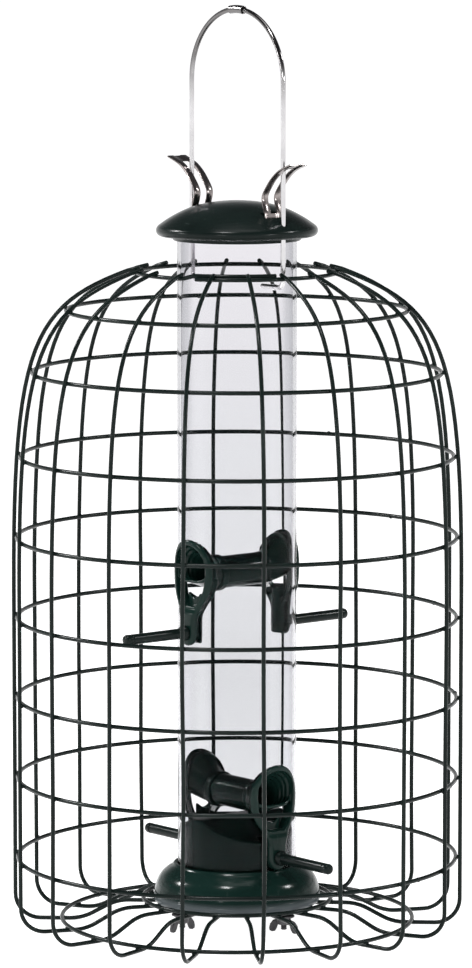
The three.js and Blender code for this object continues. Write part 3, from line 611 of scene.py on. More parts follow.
def upright_profile():
    """(radius, height) of an upright's centre line, from the hub to the collar."""
    bend_start = CAGE_RADIUS - FOOT_BEND
    base = [(INNER_END, HUB_Z), (HUB_END, HUB_Z), (STEP_END, FLOOR_Z), (bend_start, FLOOR_Z)]
    step = rounded(base, {1: STEP_FILLET, 2: STEP_FILLET}, 5)
    corner = []
    for degrees in range(9, 91, 9):
        a = math.radians(degrees)
        corner.append((bend_start + FOOT_BEND * math.sin(a), FLOOR_Z + FOOT_BEND * (1 - math.cos(a))))
    side = [(CAGE_RADIUS, z) for z in np.arange(SIDE_START, SIDE_END, SIDE_STEP)]
    curve = [bezier(DOME_BEZIER, t) for t in np.linspace(0, 1, 26)]
    dome = [(r, min(z, UPRIGHT_END_Z)) for r, z in curve]
    hub_run = [(INNER_END + (HUB_END - INNER_END) * s, HUB_Z) for s in (0.0, 0.25, 0.5, 0.75)]
    return hub_run + step[1:] + corner + side + dome


def sway(seed, height):
    """Small sideways bend of a wire at a height, in millimetres."""
    return SWAY * noise.noise(Vector((seed * 3.7, height * 0.011, 0.5)))


def upright_angle(i):
    return PHASE + TAU * i / UPRIGHTS


def upright_point(i, r, z):
    angle = upright_angle(i)
    reach = min(1.0, max(0.0, (r - SWAY_START) / SWAY_SPAN))
    across = sway(i + 1, z) * reach
    return (
        r * math.cos(angle) - across * math.sin(angle),
        r * math.sin(angle) + across * math.cos(angle),
        z,
    )


def dome_contact(height):
    """Point and inward normal of the dome wire beside a ring of that height."""
    lo, hi = 0.0, 1.0
    for _ in range(40):
        t = (lo + hi) / 2
        p, q = bezier(DOME_BEZIER, t), bezier(DOME_BEZIER, t + 1e-4)
        d = Vector((q[0] - p[0], q[1] - p[1])).normalized()
        n = Vector((-d.y, d.x))
        if p[1] + n.y * WELD_OFFSET < height:
            lo = t
        else:
            hi = t
    return Vector(p), n


def bead(centre, toward):
    """Weld between two crossing wires: a small squashed ball."""
    arc = [math.pi * i / 5 for i in range(1, 5)]
    ball = [(BEAD_WIDTH * math.sin(a), -BEAD_LENGTH * math.cos(a)) for a in arc]
    vertices, faces = turned([(0, -BEAD_LENGTH)] + ball + [(0, BEAD_LENGTH)], 8)
    turn = Vector((0, 0, 1)).rotation_difference(Vector(toward).normalized()).to_matrix()
    return [Vector(centre) + turn @ Vector(v) for v in vertices], faces


def make_uprights():
    profile = upright_profile()
    for i in range(UPRIGHTS):
        points = [upright_point(i, r, z) for r, z in profile]
        node = f"cage_upright_{i + 1:02d}"
        obj = mesh_object(node + "_wire", *sweep(points, WIRE, 12), sharp_degrees=50)
        finish_piece(obj, "feeder", PAINT, node)


def make_ring(node, radius, height, offset, seed):
    """offset is (outwards, up) from the ring's centre line to the upright's."""
    points = []
    steps = 180
    for k in range(steps):
        a = TAU * k / steps
        wobble = 0.4 * (0.25 * math.sin(2 * a + seed) + 0.12 * math.sin(5 * a + 2 * seed))
        lift = 0.5 * (0.35 * math.sin(a + 1.7 * seed) + 0.15 * math.sin(3 * a + seed))
        points.append(around(radius + wobble, a, height + lift))
    parts = [sweep(points, WIRE, 12, closed=True)]
    out, up = offset
    for i in range(UPRIGHTS):
        upright = Vector(upright_point(i, radius + out, height + up))
        a = math.atan2(upright.y, upright.x)
        here = Vector(around(radius, a, height))
        parts.append(bead((here + upright) / 2, upright - here))
    seam = upright_angle(seed % UPRIGHTS + SEAM_PLACE)
    seam_points = [around(radius, seam + along / radius, height) for along, _ in SEAM_BEAD]
    parts.append(sweep(seam_points, [r for _, r in SEAM_BEAD], 12))
    obj = mesh_object(node + "_wire", *merged(parts), sharp_degrees=50)
    finish_piece(obj, "feeder", PAINT, node)


def make_rings():
    for i, node in enumerate(RING_NODES):
        height = RING_Z[i]
        if height < SIDE_RING_LIMIT:
            make_ring(node, CAGE_RADIUS - WELD_OFFSET, height, (WELD_OFFSET, 0), i)
        else:
            p, n = dome_contact(height)
            out, up = -n.x * WELD_OFFSET, -n.y * WELD_OFFSET
            make_ring(node, p.x - out, height, (out, up), i)
    floor_rings = [
        ("floor_ring", FLOOR_RING_RADIUS, FLOOR_Z), ("hub_ring_outer", HUB_RING_RADIUS, HUB_Z),
        ("hub_ring_inner", HUB_INNER_RADIUS, HUB_Z),
    ]
    for seed, (node, radius, wire_z) in enumerate(floor_rings, 9):
        ring_z = middle(node)[2]
        make_ring(node, radius, ring_z, (0, wire_z - ring_z), seed)


def make_collar():
    points = []
    lap_rise = high("collar_ring")[2] - low("collar_ring")[2] - 2 * WIRE
    shift_start, shift_end = math.radians(350.5), math.radians(358.8)
    turn = 0.0
    while turn <= TAU + COLLAR_LAP:
        share = min(1.0, max(0.0, (turn - shift_start) / (shift_end - shift_start)))
        share = share * share * (3 - 2 * share)
        a = COLLAR_START + turn
        radius = COLLAR_RADIUS - COLLAR_LAP_INSET * share
        points.append(around(radius, a, COLLAR_Z + lap_rise * share))
        turn += math.radians(2.5)
    parts = [sweep(points, WIRE, 12)]
    for i in range(UPRIGHTS):
        under, top = [
            Vector(around(COLLAR_RADIUS, upright_angle(i), z)) for z in (COLLAR_Z, COLLAR_Z + COLLAR_WELD)
        ]
        parts.append(bead((top + under) / 2, top - under))
    obj = mesh_object("collar_ring_wire", *merged(parts), sharp_degrees=50)
    finish_piece(obj, "feeder", PAINT, "collar_ring")


# ----- Base housing, plug and tube -----

SCREWS = [f"cage_screw_{i}" for i in range(1, 5)]


def tool_cylinder(radius, bottom, top, place):
    """An upright cylinder to cut with."""
    obj = mesh_object("tool", *turned([(0, bottom), (radius, bottom), (radius, top), (0, top)], 32))
    obj.location = (place[0] * MM, place[1] * MM, 0)
    return recalculated(obj)


HOUSING_SKIRT = [  # (radius, height above the foot), from foot to rim
    (46.55, 0.0), (46.85, 0.5), (46.98, 1.4), (46.75, 4.2), (46.45, 4.6), (46.65, 5.1), (46.35, 6.9),
    (45.9, 8.9), (45.4, 10.6), (44.6, 12.4), (43.6, 14.1), (42.4, 15.6), (40.9, 17.0), (39.2, 18.3),
    (37.6, 19.4), (36.4, 20.2), (36.05, 20.7),
]
SOCKET_FLOOR = 3.0  # height of the housing's inner floor above its foot
SCREW_RECESS_RADIUS, SCREW_RECESS_DEPTH = 3.9, 2.5


def make_housing():
    low_z, high_z, r = HOUSING_LOW, HOUSING_HIGH, HOUSING_RADIUS
    socket = TUBE_RADIUS + 0.3
    profile = [
        (0, low_z), (socket + 2.5, low_z), (socket + 2.5, high_z - 5.8), (r - 6.0, high_z - 7.8),
        (r - 3.5, high_z - 13), (r - 2.4, low_z),
    ]
    profile += [(x, low_z + up) for x, up in HOUSING_SKIRT]
    profile += [
        (socket + 1.9, high_z - 0.2), (socket + 1.4, high_z), (socket + 0.3, high_z),
        (socket, high_z - 0.3), (socket, low_z + 3.3), (socket - 0.6, low_z + SOCKET_FLOOR),
        (0, low_z + SOCKET_FLOOR),
    ]
    obj = recalculated(mesh_object("base_housing_shell", *turned(profile, 144)))
    holes = []
    for name in SCREWS:
        x, y, _ = middle(name)
        floor_z = low_z + SOCKET_FLOOR
        holes.append(tool_cylinder(SCREW_RECESS_RADIUS, floor_z, floor_z + SCREW_RECESS_DEPTH, (x, y)))
    obj = cut(obj, *holes)
    finish_piece(obj, "feeder", MOULDING, "base_housing")


PLUG_GAP = 0.3
PLUG_DROP, PLUG_RIDGE = 12.5, 4  # fall of the roof's slopes, half width of its ridge
NOTCH_HALF, NOTCH_START, NOTCH_DROP = 6.7, 25.5, 10  # room for the lower ports' tongues


def make_plug():
    radius = TUBE_RADIUS - TUBE_WALL - PLUG_GAP
    bottom, ridge = low("base_plug")[2], high("base_plug")[2]

    def field(x, y, z):
        wall = np.sqrt(x * x + y * y) - radius
        slope = PLUG_DROP / (radius + 1 - PLUG_RIDGE)
        roof = (z - ridge + slope * np.maximum(np.abs(x) - PLUG_RIDGE, 0)) / math.hypot(1, slope)
        body = smooth_max(smooth_max(wall, roof, 1.6), bottom - z, 0.6)
        for side in (1, -1):
            deep = (PERCH_Z["lower"] - NOTCH_DROP) - z
            notch = np.maximum(np.abs(y) - NOTCH_HALF, NOTCH_START - side * x)
            notch = smooth_max(notch, deep, 0.8)
            body = smooth_max(body, -notch, 0.8)
        return body

    reach = radius + 2
    net = surface_net(field, (-reach, -reach, bottom - 2), (reach, reach, ridge + 2), 0.9)
    obj = net_object("base_plug_body", net, 0.0, (0, 0, 0))
    finish_piece(obj, "feeder", MOULDING, "base_plug")


PORT_HOLE_INSET = 1.2  # hole in the tube, inside the outline of a port's plate
PORT_TOP, PORT_BOTTOM = 52.3, -7.0
PORT_HALF, PORT_STEM, PORT_WIDEST = 16.0, 5.6, 33.5
PLATE_IN, PLATE_OUT, STEM_BLOCK_OUT = 33.7, 36.4, 37.4


def port_outline(inset, samples):
    """Outline of a port plate in (across, up): a round head on a narrow stem."""
    stem, half = PORT_STEM - inset, PORT_HALF - inset
    top, bottom = PORT_TOP - inset, PORT_BOTTOM + inset
    shoulder = [(stem, 7.0), (stem + 1.5, 16.0), (half, 18.0), (half, PORT_WIDEST)]
    crown = [(half, PORT_WIDEST), (half, top - 7), (8.0, top), (0.0, top)]
    right = [(stem, bottom + stem)]
    right += [bezier(shoulder, k / samples) for k in range(samples + 1)]
    right += [bezier(crown, k / samples) for k in range(1, samples + 1)]
    left = [(-x, z) for x, z in reversed(right[:-1])]
    foot = []
    for k in range(1, 8):
        a = math.pi + math.pi * k / 8
        foot.append((stem * math.cos(a), bottom + stem + stem * math.sin(a)))
    return right + left + foot


def make_tube():
    inner = TUBE_RADIUS - TUBE_WALL
    heights = np.linspace(TUBE_BOTTOM, TUBE_TOP, 46)
    profile = [(TUBE_RADIUS, z) for z in heights[:-1]]
    profile += [(TUBE_RADIUS, TUBE_TOP - 0.4), (TUBE_RADIUS - 0.4, TUBE_TOP), (inner + 0.4, TUBE_TOP)]
    profile += [(inner, z) for z in heights[::-1]]
    obj = recalculated(mesh_object("seed_tube_wall", *turned(profile, 120)))
    tools = []
    for name, angle in PORTS.items():
        outline = port_outline(PORT_HOLE_INSET, 10)
        z0 = PERCH_Z[name.split("_")[0]]
        count = len(outline)
        vertices = [(x, y, z) for x in (20.0, 45.0) for y, z in outline]
        faces = [tuple(range(count - 1, -1, -1)), tuple(range(count, 2 * count))]
        faces += band(0, count, count)
        tool = mesh_object("tool", *placed((vertices, faces), angle, (0, 0, z0)), smooth=False)
        tools.append(recalculated(tool))
    pin = mesh_object("tool", *turned([(0, -50), (BAIL_HOLE, -50), (BAIL_HOLE, 50), (0, 50)], 24, "x"))
    pin.location = (0, 0, BAIL_PIVOT * MM)
    tools.append(recalculated(pin))
    obj = cut(obj, *tools)
    finish_piece(obj, "feeder", TUBE, "seed_tube")


# ----- Ports and perches -----

NECK_INSET, WINDOW_INSET, WINDOW_SILL = 1.5, 3.5, 15.2
NECK_IN, NECK_TOP = 28.6, 31.0
TONGUE_X, TONGUE_RADIUS, TONGUE_TOP = 33.2, 6.2, 22.5
TROUGH_Z, TROUGH_RADIUS = 24.5, 5.0
PERCH_START = 31.4
TUNNEL_Z, TUNNEL_RADIUS, TUNNEL_BORE, TUNNEL_START = 32.0, 9.0, 6.7, 16.0
MOUTH_X, MOUTH_Z, MOUTH_HALF, MOUTH_RISE, MOUTH_DROP = 32.6, 37.0, 13.9, 13.4, 9.0
HOOD_WALL, HOOD_END = 1.8, 34.4
PANE_IN, PANE_OUT = 30.4, 34.2  # radii of the part of a port that fills the hole in the tube
TONGUE_FACE = 31.1  # outer radius of the tongue, just inside the tube
STEM_BLOCK_TOP = 13.0
PERCH_HOLE_RADIUS = 3.3
SPIGOT_RADIUS, SPIGOT_SHOULDER, SPIGOT_END = 7.9, -12.7, -15.4
SOCKET_RADIUS, SOCKET_END, SOCKET_DEPTH = 10.2, 13.0, 15.7
SLEEVE_REACH, SOCKET_REACH = 17.0, 18.0  # how far the tunnel's ends run into the hood
RIDGE_DEPTH, RIDGE_PITCH, RIDGE_START = 0.45, 2.4, 23.0  # ribs inside the hood


def hood_distance(x, y, z, shrink):
    """Distance to the hood, from its round tunnel end to its wide mouth."""
    share = np.clip((x - TUNNEL_START) / (MOUTH_X - TUNNEL_START), 0, 1)
    share = share * share * (1.9 - 0.9 * share)
    half, top, bottom = [
        TUNNEL_RADIUS + (mouth - TUNNEL_RADIUS) * share - shrink
        for mouth in (MOUTH_HALF, MOUTH_RISE, MOUTH_DROP)
    ]
    centre = TUNNEL_Z + (MOUTH_Z - TUNNEL_Z) * share
    up = z - centre
    height = np.where(up > 0, top, bottom)
    power = 2.0 + np.where(up > 0, 0.2, 1.4) * share
    u, v = np.abs(y) / half, np.abs(up) / height
    size = (u ** power + v ** power + 1e-9) ** (1 / power)
    return (size - 1) * np.minimum(half, height) * 0.95


def port_field(has_spigot):
    outlines = [port_outline(inset, 9) for inset in (0.0, NECK_INSET, WINDOW_INSET)]

    def field(x, y, z):
        r = np.sqrt(x * x + y * y)
        outline, neck_line, window_line = [polygon_distance(points, y, z) for points in outlines]
        plate_wall = np.abs(r - (PLATE_IN + PLATE_OUT) / 2) - (PLATE_OUT - PLATE_IN) / 2
        plate = smooth_max(outline, plate_wall, 1.4)
        block = smooth_max(outline, np.maximum(PLATE_IN - r, r - STEM_BLOCK_OUT), 1.6)
        block = smooth_max(block, z - STEM_BLOCK_TOP + 0.9 * (r - PLATE_OUT), 1.6)
        neck = np.maximum(neck_line, np.maximum(PANE_IN - r, r - PANE_OUT))
        walls = smooth_max(neck_line, np.maximum(NECK_IN - r, r - PANE_OUT), 0.8)
        walls = smooth_max(walls, z - NECK_TOP, 0.8)
        solid = smooth_min(smooth_min(plate, block, 1.2), np.minimum(neck, walls), 0.4)
        window = smooth_max(window_line, WINDOW_SILL - z, 1.2)
        solid = smooth_max(solid, -window, 0.9)
        tongue = np.sqrt((x - TONGUE_X) ** 2 + y * y) - TONGUE_RADIUS
        tongue = smooth_max(tongue, r - TONGUE_FACE, 0.6)
        tongue = smooth_max(tongue, np.maximum(z - TONGUE_TOP, PORT_BOTTOM + 1.0 - z), 1.0)
        trough = np.sqrt(y * y + (z - TROUGH_Z) ** 2) - TROUGH_RADIUS
        tongue = smooth_max(tongue, -trough, 0.8)
        solid = smooth_min(solid, tongue, 0.6)
        hood = hood_distance(x, y, z, 0.0)
        hood = smooth_max(hood, np.maximum(TUNNEL_START - x, r - HOOD_END), 0.5)
        hood = np.maximum(hood, neck_line)
        solid = smooth_min(solid, hood, 0.7)
        tunnel_r = np.sqrt(y * y + (z - TUNNEL_Z) ** 2)
        if has_spigot:
            length = np.maximum(x - SLEEVE_REACH, SPIGOT_SHOULDER - x)
            sleeve = smooth_max(tunnel_r - TUNNEL_RADIUS, length, 0.5)
            nose = smooth_max(tunnel_r - SPIGOT_RADIUS, np.maximum(x, SPIGOT_END - x), 0.5)
            sleeve = np.minimum(sleeve, nose)
            hollow = np.maximum(tunnel_r - TUNNEL_BORE, x - SLEEVE_REACH)
        else:
            length = np.maximum(x - SOCKET_REACH, SOCKET_END - x)
            sleeve = smooth_max(tunnel_r - SOCKET_RADIUS, length, 1.0)
            seat = np.maximum(tunnel_r - SPIGOT_RADIUS - 0.3, np.maximum(x - SOCKET_DEPTH, -x))
            hollow = np.maximum(tunnel_r - TUNNEL_BORE, np.maximum(x - SLEEVE_REACH, -x))
            hollow = np.minimum(hollow, seat)
        solid = smooth_min(solid, sleeve, 1.0)
        ridges = RIDGE_DEPTH * np.abs(np.mod(x, RIDGE_PITCH) / (RIDGE_PITCH / 2) - 1)
        ridges = ridges * np.clip((x - RIDGE_START) / 2, 0, 1)
        bore = hood_distance(x, y, z, HOOD_WALL - ridges)
        solid = smooth_max(solid, -np.maximum(bore, TUNNEL_START - x), 0.5)
        solid = smooth_max(solid, -hollow, 0.4)
        perch_hole = np.maximum(np.sqrt(y * y + z * z) - PERCH_HOLE_RADIUS, PERCH_START - 0.3 - x)
        return np.maximum(solid, -perch_hole)

    return field


def make_ports():
    nets = {}
    for name, angle in PORTS.items():
        row, side = name.split("_")
        spigot = (row, side) in (("lower", "front"), ("upper", "back"))
        if spigot not in nets:
            x0 = SPIGOT_END - 1.5 if spigot else SOCKET_END - 1.5
            nets[spigot] = surface_net(port_field(spigot), (x0, -17.5, -8.5), (40.0, 17.5, 54.0), 0.7)
        node = f"{row}_port_{side}"
        obj = net_object(node + "_casting", nets[spigot], angle, (0, 0, PERCH_Z[row]))
        finish_piece(obj, "feeder", MOULDING, node)


def make_perches():
    start = STEM_BLOCK_OUT + 0.3
    root = [(0, 0), (2.9, 0), (3.0, 0.5)]  # (radius, out from the root)
    collar = [  # (radius, out from the block)
        (3.0, 0), (4.1, 0), (4.25, 0.3), (4.25, 1.9), (3.9, 2.4), (3.05, 3.0), (3.0, 6.0),
    ]
    tip = [  # (radius, back from the tip)
        (2.96, 5.2), (2.6, 4.8), (2.6, 4.2), (2.98, 3.8), (3.0, 1.3), (2.6, 0.4), (1.9, 0), (0, 0),
    ]
    profile = [(r, PERCH_START + x) for r, x in root] + [(r, start + x) for r, x in collar]
    profile += [(2.96, 62.0)] + [(r, PERCH_TIP - x) for r, x in tip]
    for name, angle in PORTS.items():
        row, side = name.split("_")
        node = f"{row}_perch_{side}"
        parts = placed(turned(profile, 40, "x"), angle, (0, 0, PERCH_Z[row]))
        obj = recalculated(mesh_object(node + "_rod", *parts, sharp_degrees=40))
        finish_piece(obj, "feeder", PAINT, node)


# ----- Cap, liner, latch tabs, bail -----

CAP_DOME = [  # (radius, height above the brim), from the brim up
    (45.1, 0.0), (45.05, 0.6), (44.9, 1.2), (44.6, 1.8), (44.2, 2.3), (43.6, 2.85), (42.9, 3.4),
    (41.8, 4.15), (40.6, 5.0), (38.4, 6.5), (36.0, 7.9), (33.1, 9.5), (30.0, 11.0), (26.2, 12.6),
    (22.0, 13.9), (17.2, 15.0), (12.0, 15.8), (6.0, 16.35), (0.0, 16.5),
]
CAP_LIP = 3.1  # height of the rolled lip, and its width
CAP_LEG_HOLE = 2.1
CAP_SLIT_IN, CAP_SLIT_OUT, CAP_SLIT_HALF, CAP_SLIT_LOW = 28.6, 34.4, 7.35, 397.0


def make_cap():
    r, low_z = CAP_RADIUS, CAP_LOW
    brim = low_z + CAP_LIP
    clear = LINER_RADIUS + 1.3
    lip = [
        (clear, low_z + 0.3), (clear + 0.3, low_z), (r - CAP_LIP, low_z), (r - 2.1, low_z + 0.1),
        (r - 1.5, low_z + 0.4), (r - 0.9, low_z + 0.8), (r - 0.5, low_z + 1.3), (r - 0.2, low_z + 1.9),
        (r - 0.05, low_z + 2.5),
    ]
    inner_scale = (r - 3.2) / r
    under = [(x * inner_scale, brim + up - 1.6) for x, up in CAP_DOME[4:]]
    profile = under[::-1] + [(r - 3.2, low_z + 1.6), (clear, low_z + 1.6)] + lip
    profile += [(x, brim + up) for x, up in CAP_DOME]
    obj = recalculated(mesh_object("cap_dome_shell", *turned(profile, 144)))
    tools = []
    for side in (1, -1):
        leg = (side * BAIL_HALF_WIDTH, 0)
        tools.append(tool_cylinder(CAP_LEG_HOLE, low_z - 6, CAP_TOP + 4, leg))
        box = box_parts(
            (CAP_SLIT_IN, CAP_SLIT_OUT), (-CAP_SLIT_HALF, CAP_SLIT_HALF), (CAP_SLIT_LOW, CAP_TOP),
        )
        slit = mesh_object("tool", *box, smooth=False)
        slit.rotation_euler = (0, 0, 0 if side > 0 else math.pi)
        tools.append(slit)
    obj = cut(obj, *tools)
    finish_piece(obj, "cap", PAINT, "cap_dome")


def box_parts(x, y, z):
    vertices = [(x[i], y[j], z[k]) for i in (0, 1) for j in (0, 1) for k in (0, 1)]
    faces = [(0, 1, 3, 2), (4, 6, 7, 5), (0, 4, 5, 1), (2, 3, 7, 6), (0, 2, 6, 4), (1, 5, 7, 3)]
    return vertices, faces


def make_liner():
    r, low_z = LINER_RADIUS, LINER_LOW
    high_z = high("cap_liner")[2]
    profile = [
        (0, high_z - 1.1), (r - 1.6, high_z - 1.1), (r - 1.1, high_z - 1.6), (r - 1.1, low_z + 0.4),
        (r - 0.8, low_z), (r - 0.3, low_z), (r, low_z + 0.4), (r, high_z - 1.0), (r - 1.0, high_z),
        (0, high_z),
    ]
    obj = recalculated(mesh_object("cap_liner_cup", *turned(profile, 96), sharp_degrees=40))
    finish_piece(obj, "cap", PAINT, "cap_liner")


TAB_PROFILE = [  # (distance in from the bail's leg, height)
    (7.9, 399.2), (8.2, 403.5), (9.8, 408.2), (10.3, 411.3), (9.5, 414.0),
    (6.6, 418.0), (2.2, 422.8), (-4.0, 427.2), (-13.6, 430.8),
]
TAB_SLOT_BOTTOM, TAB_SLOT_REACH = 402.8, 5.3
TAB_HALF, TAB_SLOT_HALF, TAB_HALF_THICKNESS, TAB_BEVEL = 6.75, 2.2, 0.5, 0.35


def catmull(points, steps):
    result = []
    for i in range(len(points) - 1):
        p0, p1 = Vector(points[max(i - 1, 0)]), Vector(points[i])
        p2, p3 = Vector(points[i + 1]), Vector(points[min(i + 2, len(points) - 1)])
        for s in range(steps):
            t = s / steps
            q = 0.5 * ((2 * p1) + (p2 - p0) * t + (2 * p0 - 5 * p1 + 4 * p2 - p3) * t * t
                       + (3 * p1 - p0 - 3 * p2 + p3) * t ** 3)
            result.append(q)
    result.append(Vector(points[-1]))
    return result


def make_tab(node, body, side):
    """A bent strip with a slot, closed at both ends, for the bail's leg."""
    spine = catmull([(BAIL_HALF_WIDTH - a, z) for a, z in TAB_PROFILE], 8)
    count = len(spine)
    vertices, faces, grid = [], [], {}
    half, slot, bevel = TAB_HALF, TAB_SLOT_HALF, TAB_BEVEL
    across = [-half, -half + bevel, -slot - bevel, -slot, slot, slot + bevel, half - bevel, half]
    for i, p in enumerate(spine):
        t = (spine[min(i + 1, count - 1)] - spine[max(i - 1, 0)]).normalized()
        n = Vector((-t.y, t.x))
        for k, y in enumerate(across):
            for face in (0, 1):
                edge = k in (0, 3, 4, 7)
                d = TAB_HALF_THICKNESS * (0.45 if edge else 1.0) * (1 if face else -1)
                q = p + n * d
                grid[i, k, face] = len(vertices)
                vertices.append((side * q.x, side * y, q.y))
    slot_column = across.index(-slot)
    first = next(i for i, p in enumerate(spine) if p.y > TAB_SLOT_BOTTOM)
    last = next(i for i, p in enumerate(spine) if p.x > BAIL_HALF_WIDTH + TAB_SLOT_REACH)

    def solid_at(i, k):
        on_strip = 0 <= i < count - 1 and 0 <= k < len(across) - 1
        return on_strip and not (k == slot_column and first <= i < last)

    for i in range(count - 1):
        for k in range(len(across) - 1):
            if not solid_at(i, k):
                continue
            faces.append((grid[i, k, 1], grid[i, k + 1, 1], grid[i + 1, k + 1, 1], grid[i + 1, k, 1]))
            faces.append((grid[i, k, 0], grid[i + 1, k, 0], grid[i + 1, k + 1, 0], grid[i, k + 1, 0]))
            for edge, beside in ((k, k - 1), (k + 1, k + 1)):
                if not solid_at(i, beside):
                    quad = ((i, edge, 0), (i, edge, 1), (i + 1, edge, 1), (i + 1, edge, 0))
                    faces.append(tuple(grid[corner] for corner in quad))
            for edge, beside in ((i, i - 1), (i + 1, i + 1)):
                if not solid_at(beside, k):
                    quad = ((edge, k, 0), (edge, k + 1, 0), (edge, k + 1, 1), (edge, k, 1))
                    faces.append(tuple(grid[corner] for corner in quad))
    obj = recalculated(mesh_object(node + "_strip", vertices, faces))
    obj.data.set_sharp_from_angle(angle=math.radians(40))
    finish_piece(obj, body, TAB_STEEL_PAINTED_DARK, node)


BAIL_BEND = 4  # radius of the bends where the legs turn in


def arch_points(start, span, steps):
    """Points along the round top of the bail, from one angle over a span."""
    points = []
    for k in range(steps + 1):
        x, up, _ = around(BAIL_HALF_WIDTH, start + span * k / steps, 0)
        points.append((x, 0.0, SPRING_LINE + up))
    return points


def bail_points():
    def leg(side):
        points = [(x, BAIL_PIVOT) for x in (22.0, 26.0, 31.0)]
        for k in range(9):
            a = math.radians(-90 + 90 * k / 8)
            x = BAIL_HALF_WIDTH - BAIL_BEND + BAIL_BEND * math.cos(a)
            points.append((x, BAIL_PIVOT + BAIL_BEND + BAIL_BEND * math.sin(a)))
        points += [(BAIL_HALF_WIDTH, z) for z in np.linspace(BAIL_PIVOT + 14, SPRING_LINE - 8, 8)]
        return [(side * x, 0.0, z) for x, z in points]

    return leg(1) + arch_points(0.0, math.pi, 48) + leg(-1)[::-1]


def make_bail():
    obj = mesh_object("bail_wire", *sweep(bail_points(), BAIL_WIRE, 20), sharp_degrees=50)
    finish_piece(obj, "bail", STEEL, "bail")
    half = high("hanger_sleeve")[0]
    reach = math.asin(min(1.0, half / (BAIL_HALF_WIDTH + SLEEVE_RADIUS)))
    steps, sides = 14, 24
    points = arch_points(math.pi / 2 - reach, 2 * reach, steps)
    outer, outer_faces = sweep(points, SLEEVE_RADIUS, sides, dome_ends=False)
    inner, inner_faces = sweep(points, SLEEVE_BORE, sides, dome_ends=False)
    bore = [tuple(reversed(face)) for face in inner_faces[:-2]]
    vertices, faces = merged([(outer, outer_faces[:-2]), (inner, bore)])
    base = len(outer)
    for row in (0, steps):
        faces.extend(band(row * sides, base + row * sides, sides))
    obj = recalculated(mesh_object("hanger_sleeve_tube", vertices, faces, sharp_degrees=40))
    bevel = obj.modifiers.new("soft edges", "BEVEL")
    bevel.width = 0.0003
    bevel.segments = 2
    bevel.limit_method = "ANGLE"
    bevel.angle_limit = math.radians(40)
    finish_piece(obj, "bail", STEEL, "hanger_sleeve")


# ----- Screws, washers, wing nuts -----

def make_screw(node):
    x, y, _ = middle(node)
    low_z, high_z = low(node)[2], high(node)[2]
    profile = [(0, low_z), (1.3, low_z), (1.7, low_z + 0.5)]
    z = low_z + 0.8
    while z < high_z - 3.6:
        profile += [(1.7, z), (1.45, z + 0.35)]
        z += 0.7
    profile += [
        (1.7, high_z - 2.8), (1.7, high_z - 2.0), (3.5, high_z - 2.0), (3.6, high_z - 1.8),
        (3.4, high_z - 0.9), (2.4, high_z - 0.2), (1.3, high_z), (1.0, high_z - 0.7), (0, high_z - 0.7),
    ]
    parts = placed(turned(profile, 28), 0, (x, y, 0))
    obj = recalculated(mesh_object(node + "_thread", *parts, sharp_degrees=60))
    finish_piece(obj, "feeder", ZINC, node)


def make_washer(node):
    x, y, _ = middle(node)
    low_z, high_z = low(node)[2], high(node)[2]
    profile = [
        (2.05, low_z + 0.15), (2.2, low_z), (5.75, low_z), (6.0, low_z + 0.25), (6.0, high_z - 0.2),
        (5.8, high_z), (2.2, high_z), (2.05, high_z - 0.15),
    ]
    parts = placed(turned(profile, 48), 0, (x, y, 0))
    obj = recalculated(mesh_object(node + "_plate", *parts, sharp_degrees=50))
    finish_piece(obj, "feeder", ZINC, node)


WING_TURNS = [20.0, 60.0, 110.0, 95.0]  # way the wings of each nut point, in degrees
WING_TIP = 0.6  # height of the lowest point of the wings in the net


def wing_nut_net():
    top, bottom = 9.2, 5.4

    def field(x, y, z):
        r = np.sqrt(x * x + y * y)
        hub = smooth_max(r - 4.0 + 0.12 * (top - z), np.maximum(z - top, bottom - z), 0.5)
        outline = [
            (1.8, top - 0.5), (4.2, top - 1.0), (6.8, 7.3), (8.6, 5.0), (9.2, 2.8), (8.9, 1.1),
            (7.4, WING_TIP), (5.8, 0.9), (4.6, 2.8), (3.8, bottom - 0.1), (1.8, bottom),
        ]
        wing = polygon_distance(outline, np.abs(x), z)
        thick = 0.85 + 0.2 * np.clip((np.abs(x) - 4) / 5, 0, 1)
        wing = smooth_max(wing, np.abs(y) - thick, 0.7)
        nut = smooth_min(hub, wing, 0.8)
        return smooth_max(nut, 2.05 - r, 0.3)

    return surface_net(field, (-10.0, -5.0, -0.4), (10.0, 5.0, 10.2), 0.4)


def make_fasteners():
    net = wing_nut_net()
    for i in range(1, 5):
        make_screw(f"cage_screw_{i}")
        make_washer(f"washer_{i}")
        node = f"wing_nut_{i}"
        x, y, _ = middle(f"cage_screw_{i}")
        shift = low(node)[2] - WING_TIP
        obj = net_object(node + "_body", net, WING_TURNS[i - 1], (x, y, shift))
        finish_piece(obj, node, ZINC, node)


# ----- Floor, light and camera -----

FLOOR_LEVEL = -0.05
FLOOR_RADII = [200, 500, 1200, 3000, 8000, 20000, 60000]


def make_stage():
    steps = 96
    vertices = [(0, 0, FLOOR_LEVEL)]
    faces = []
    for ring, r in enumerate(FLOOR_RADII):
        for k in range(steps):
            vertices.append(around(r, TAU * k / steps, FLOOR_LEVEL))
            here, m = 1 + ring * steps, (k + 1) % steps
            if ring == 0:
                faces.append((0, here + k, here + m))
            else:
                back = here - steps
                faces.append((back + k, here + k, here + m, back + m))
    floor = mesh_object("floor", vertices, faces)
    n = Nodes("floor_paper")
    n.set(Base_Color=n.ramp(n.noise(2.0, 3.0), (0.3, (0.50, 0.50, 0.50)), (0.7, (0.53, 0.53, 0.53))))
    n.set(Roughness=0.9, Specular_IOR_Level=0.1)
    n.set(Emission_Color=(1.0, 1.0, 1.0, 1.0), Emission_Strength=0.98)
    floor.data.materials.append(n.material)


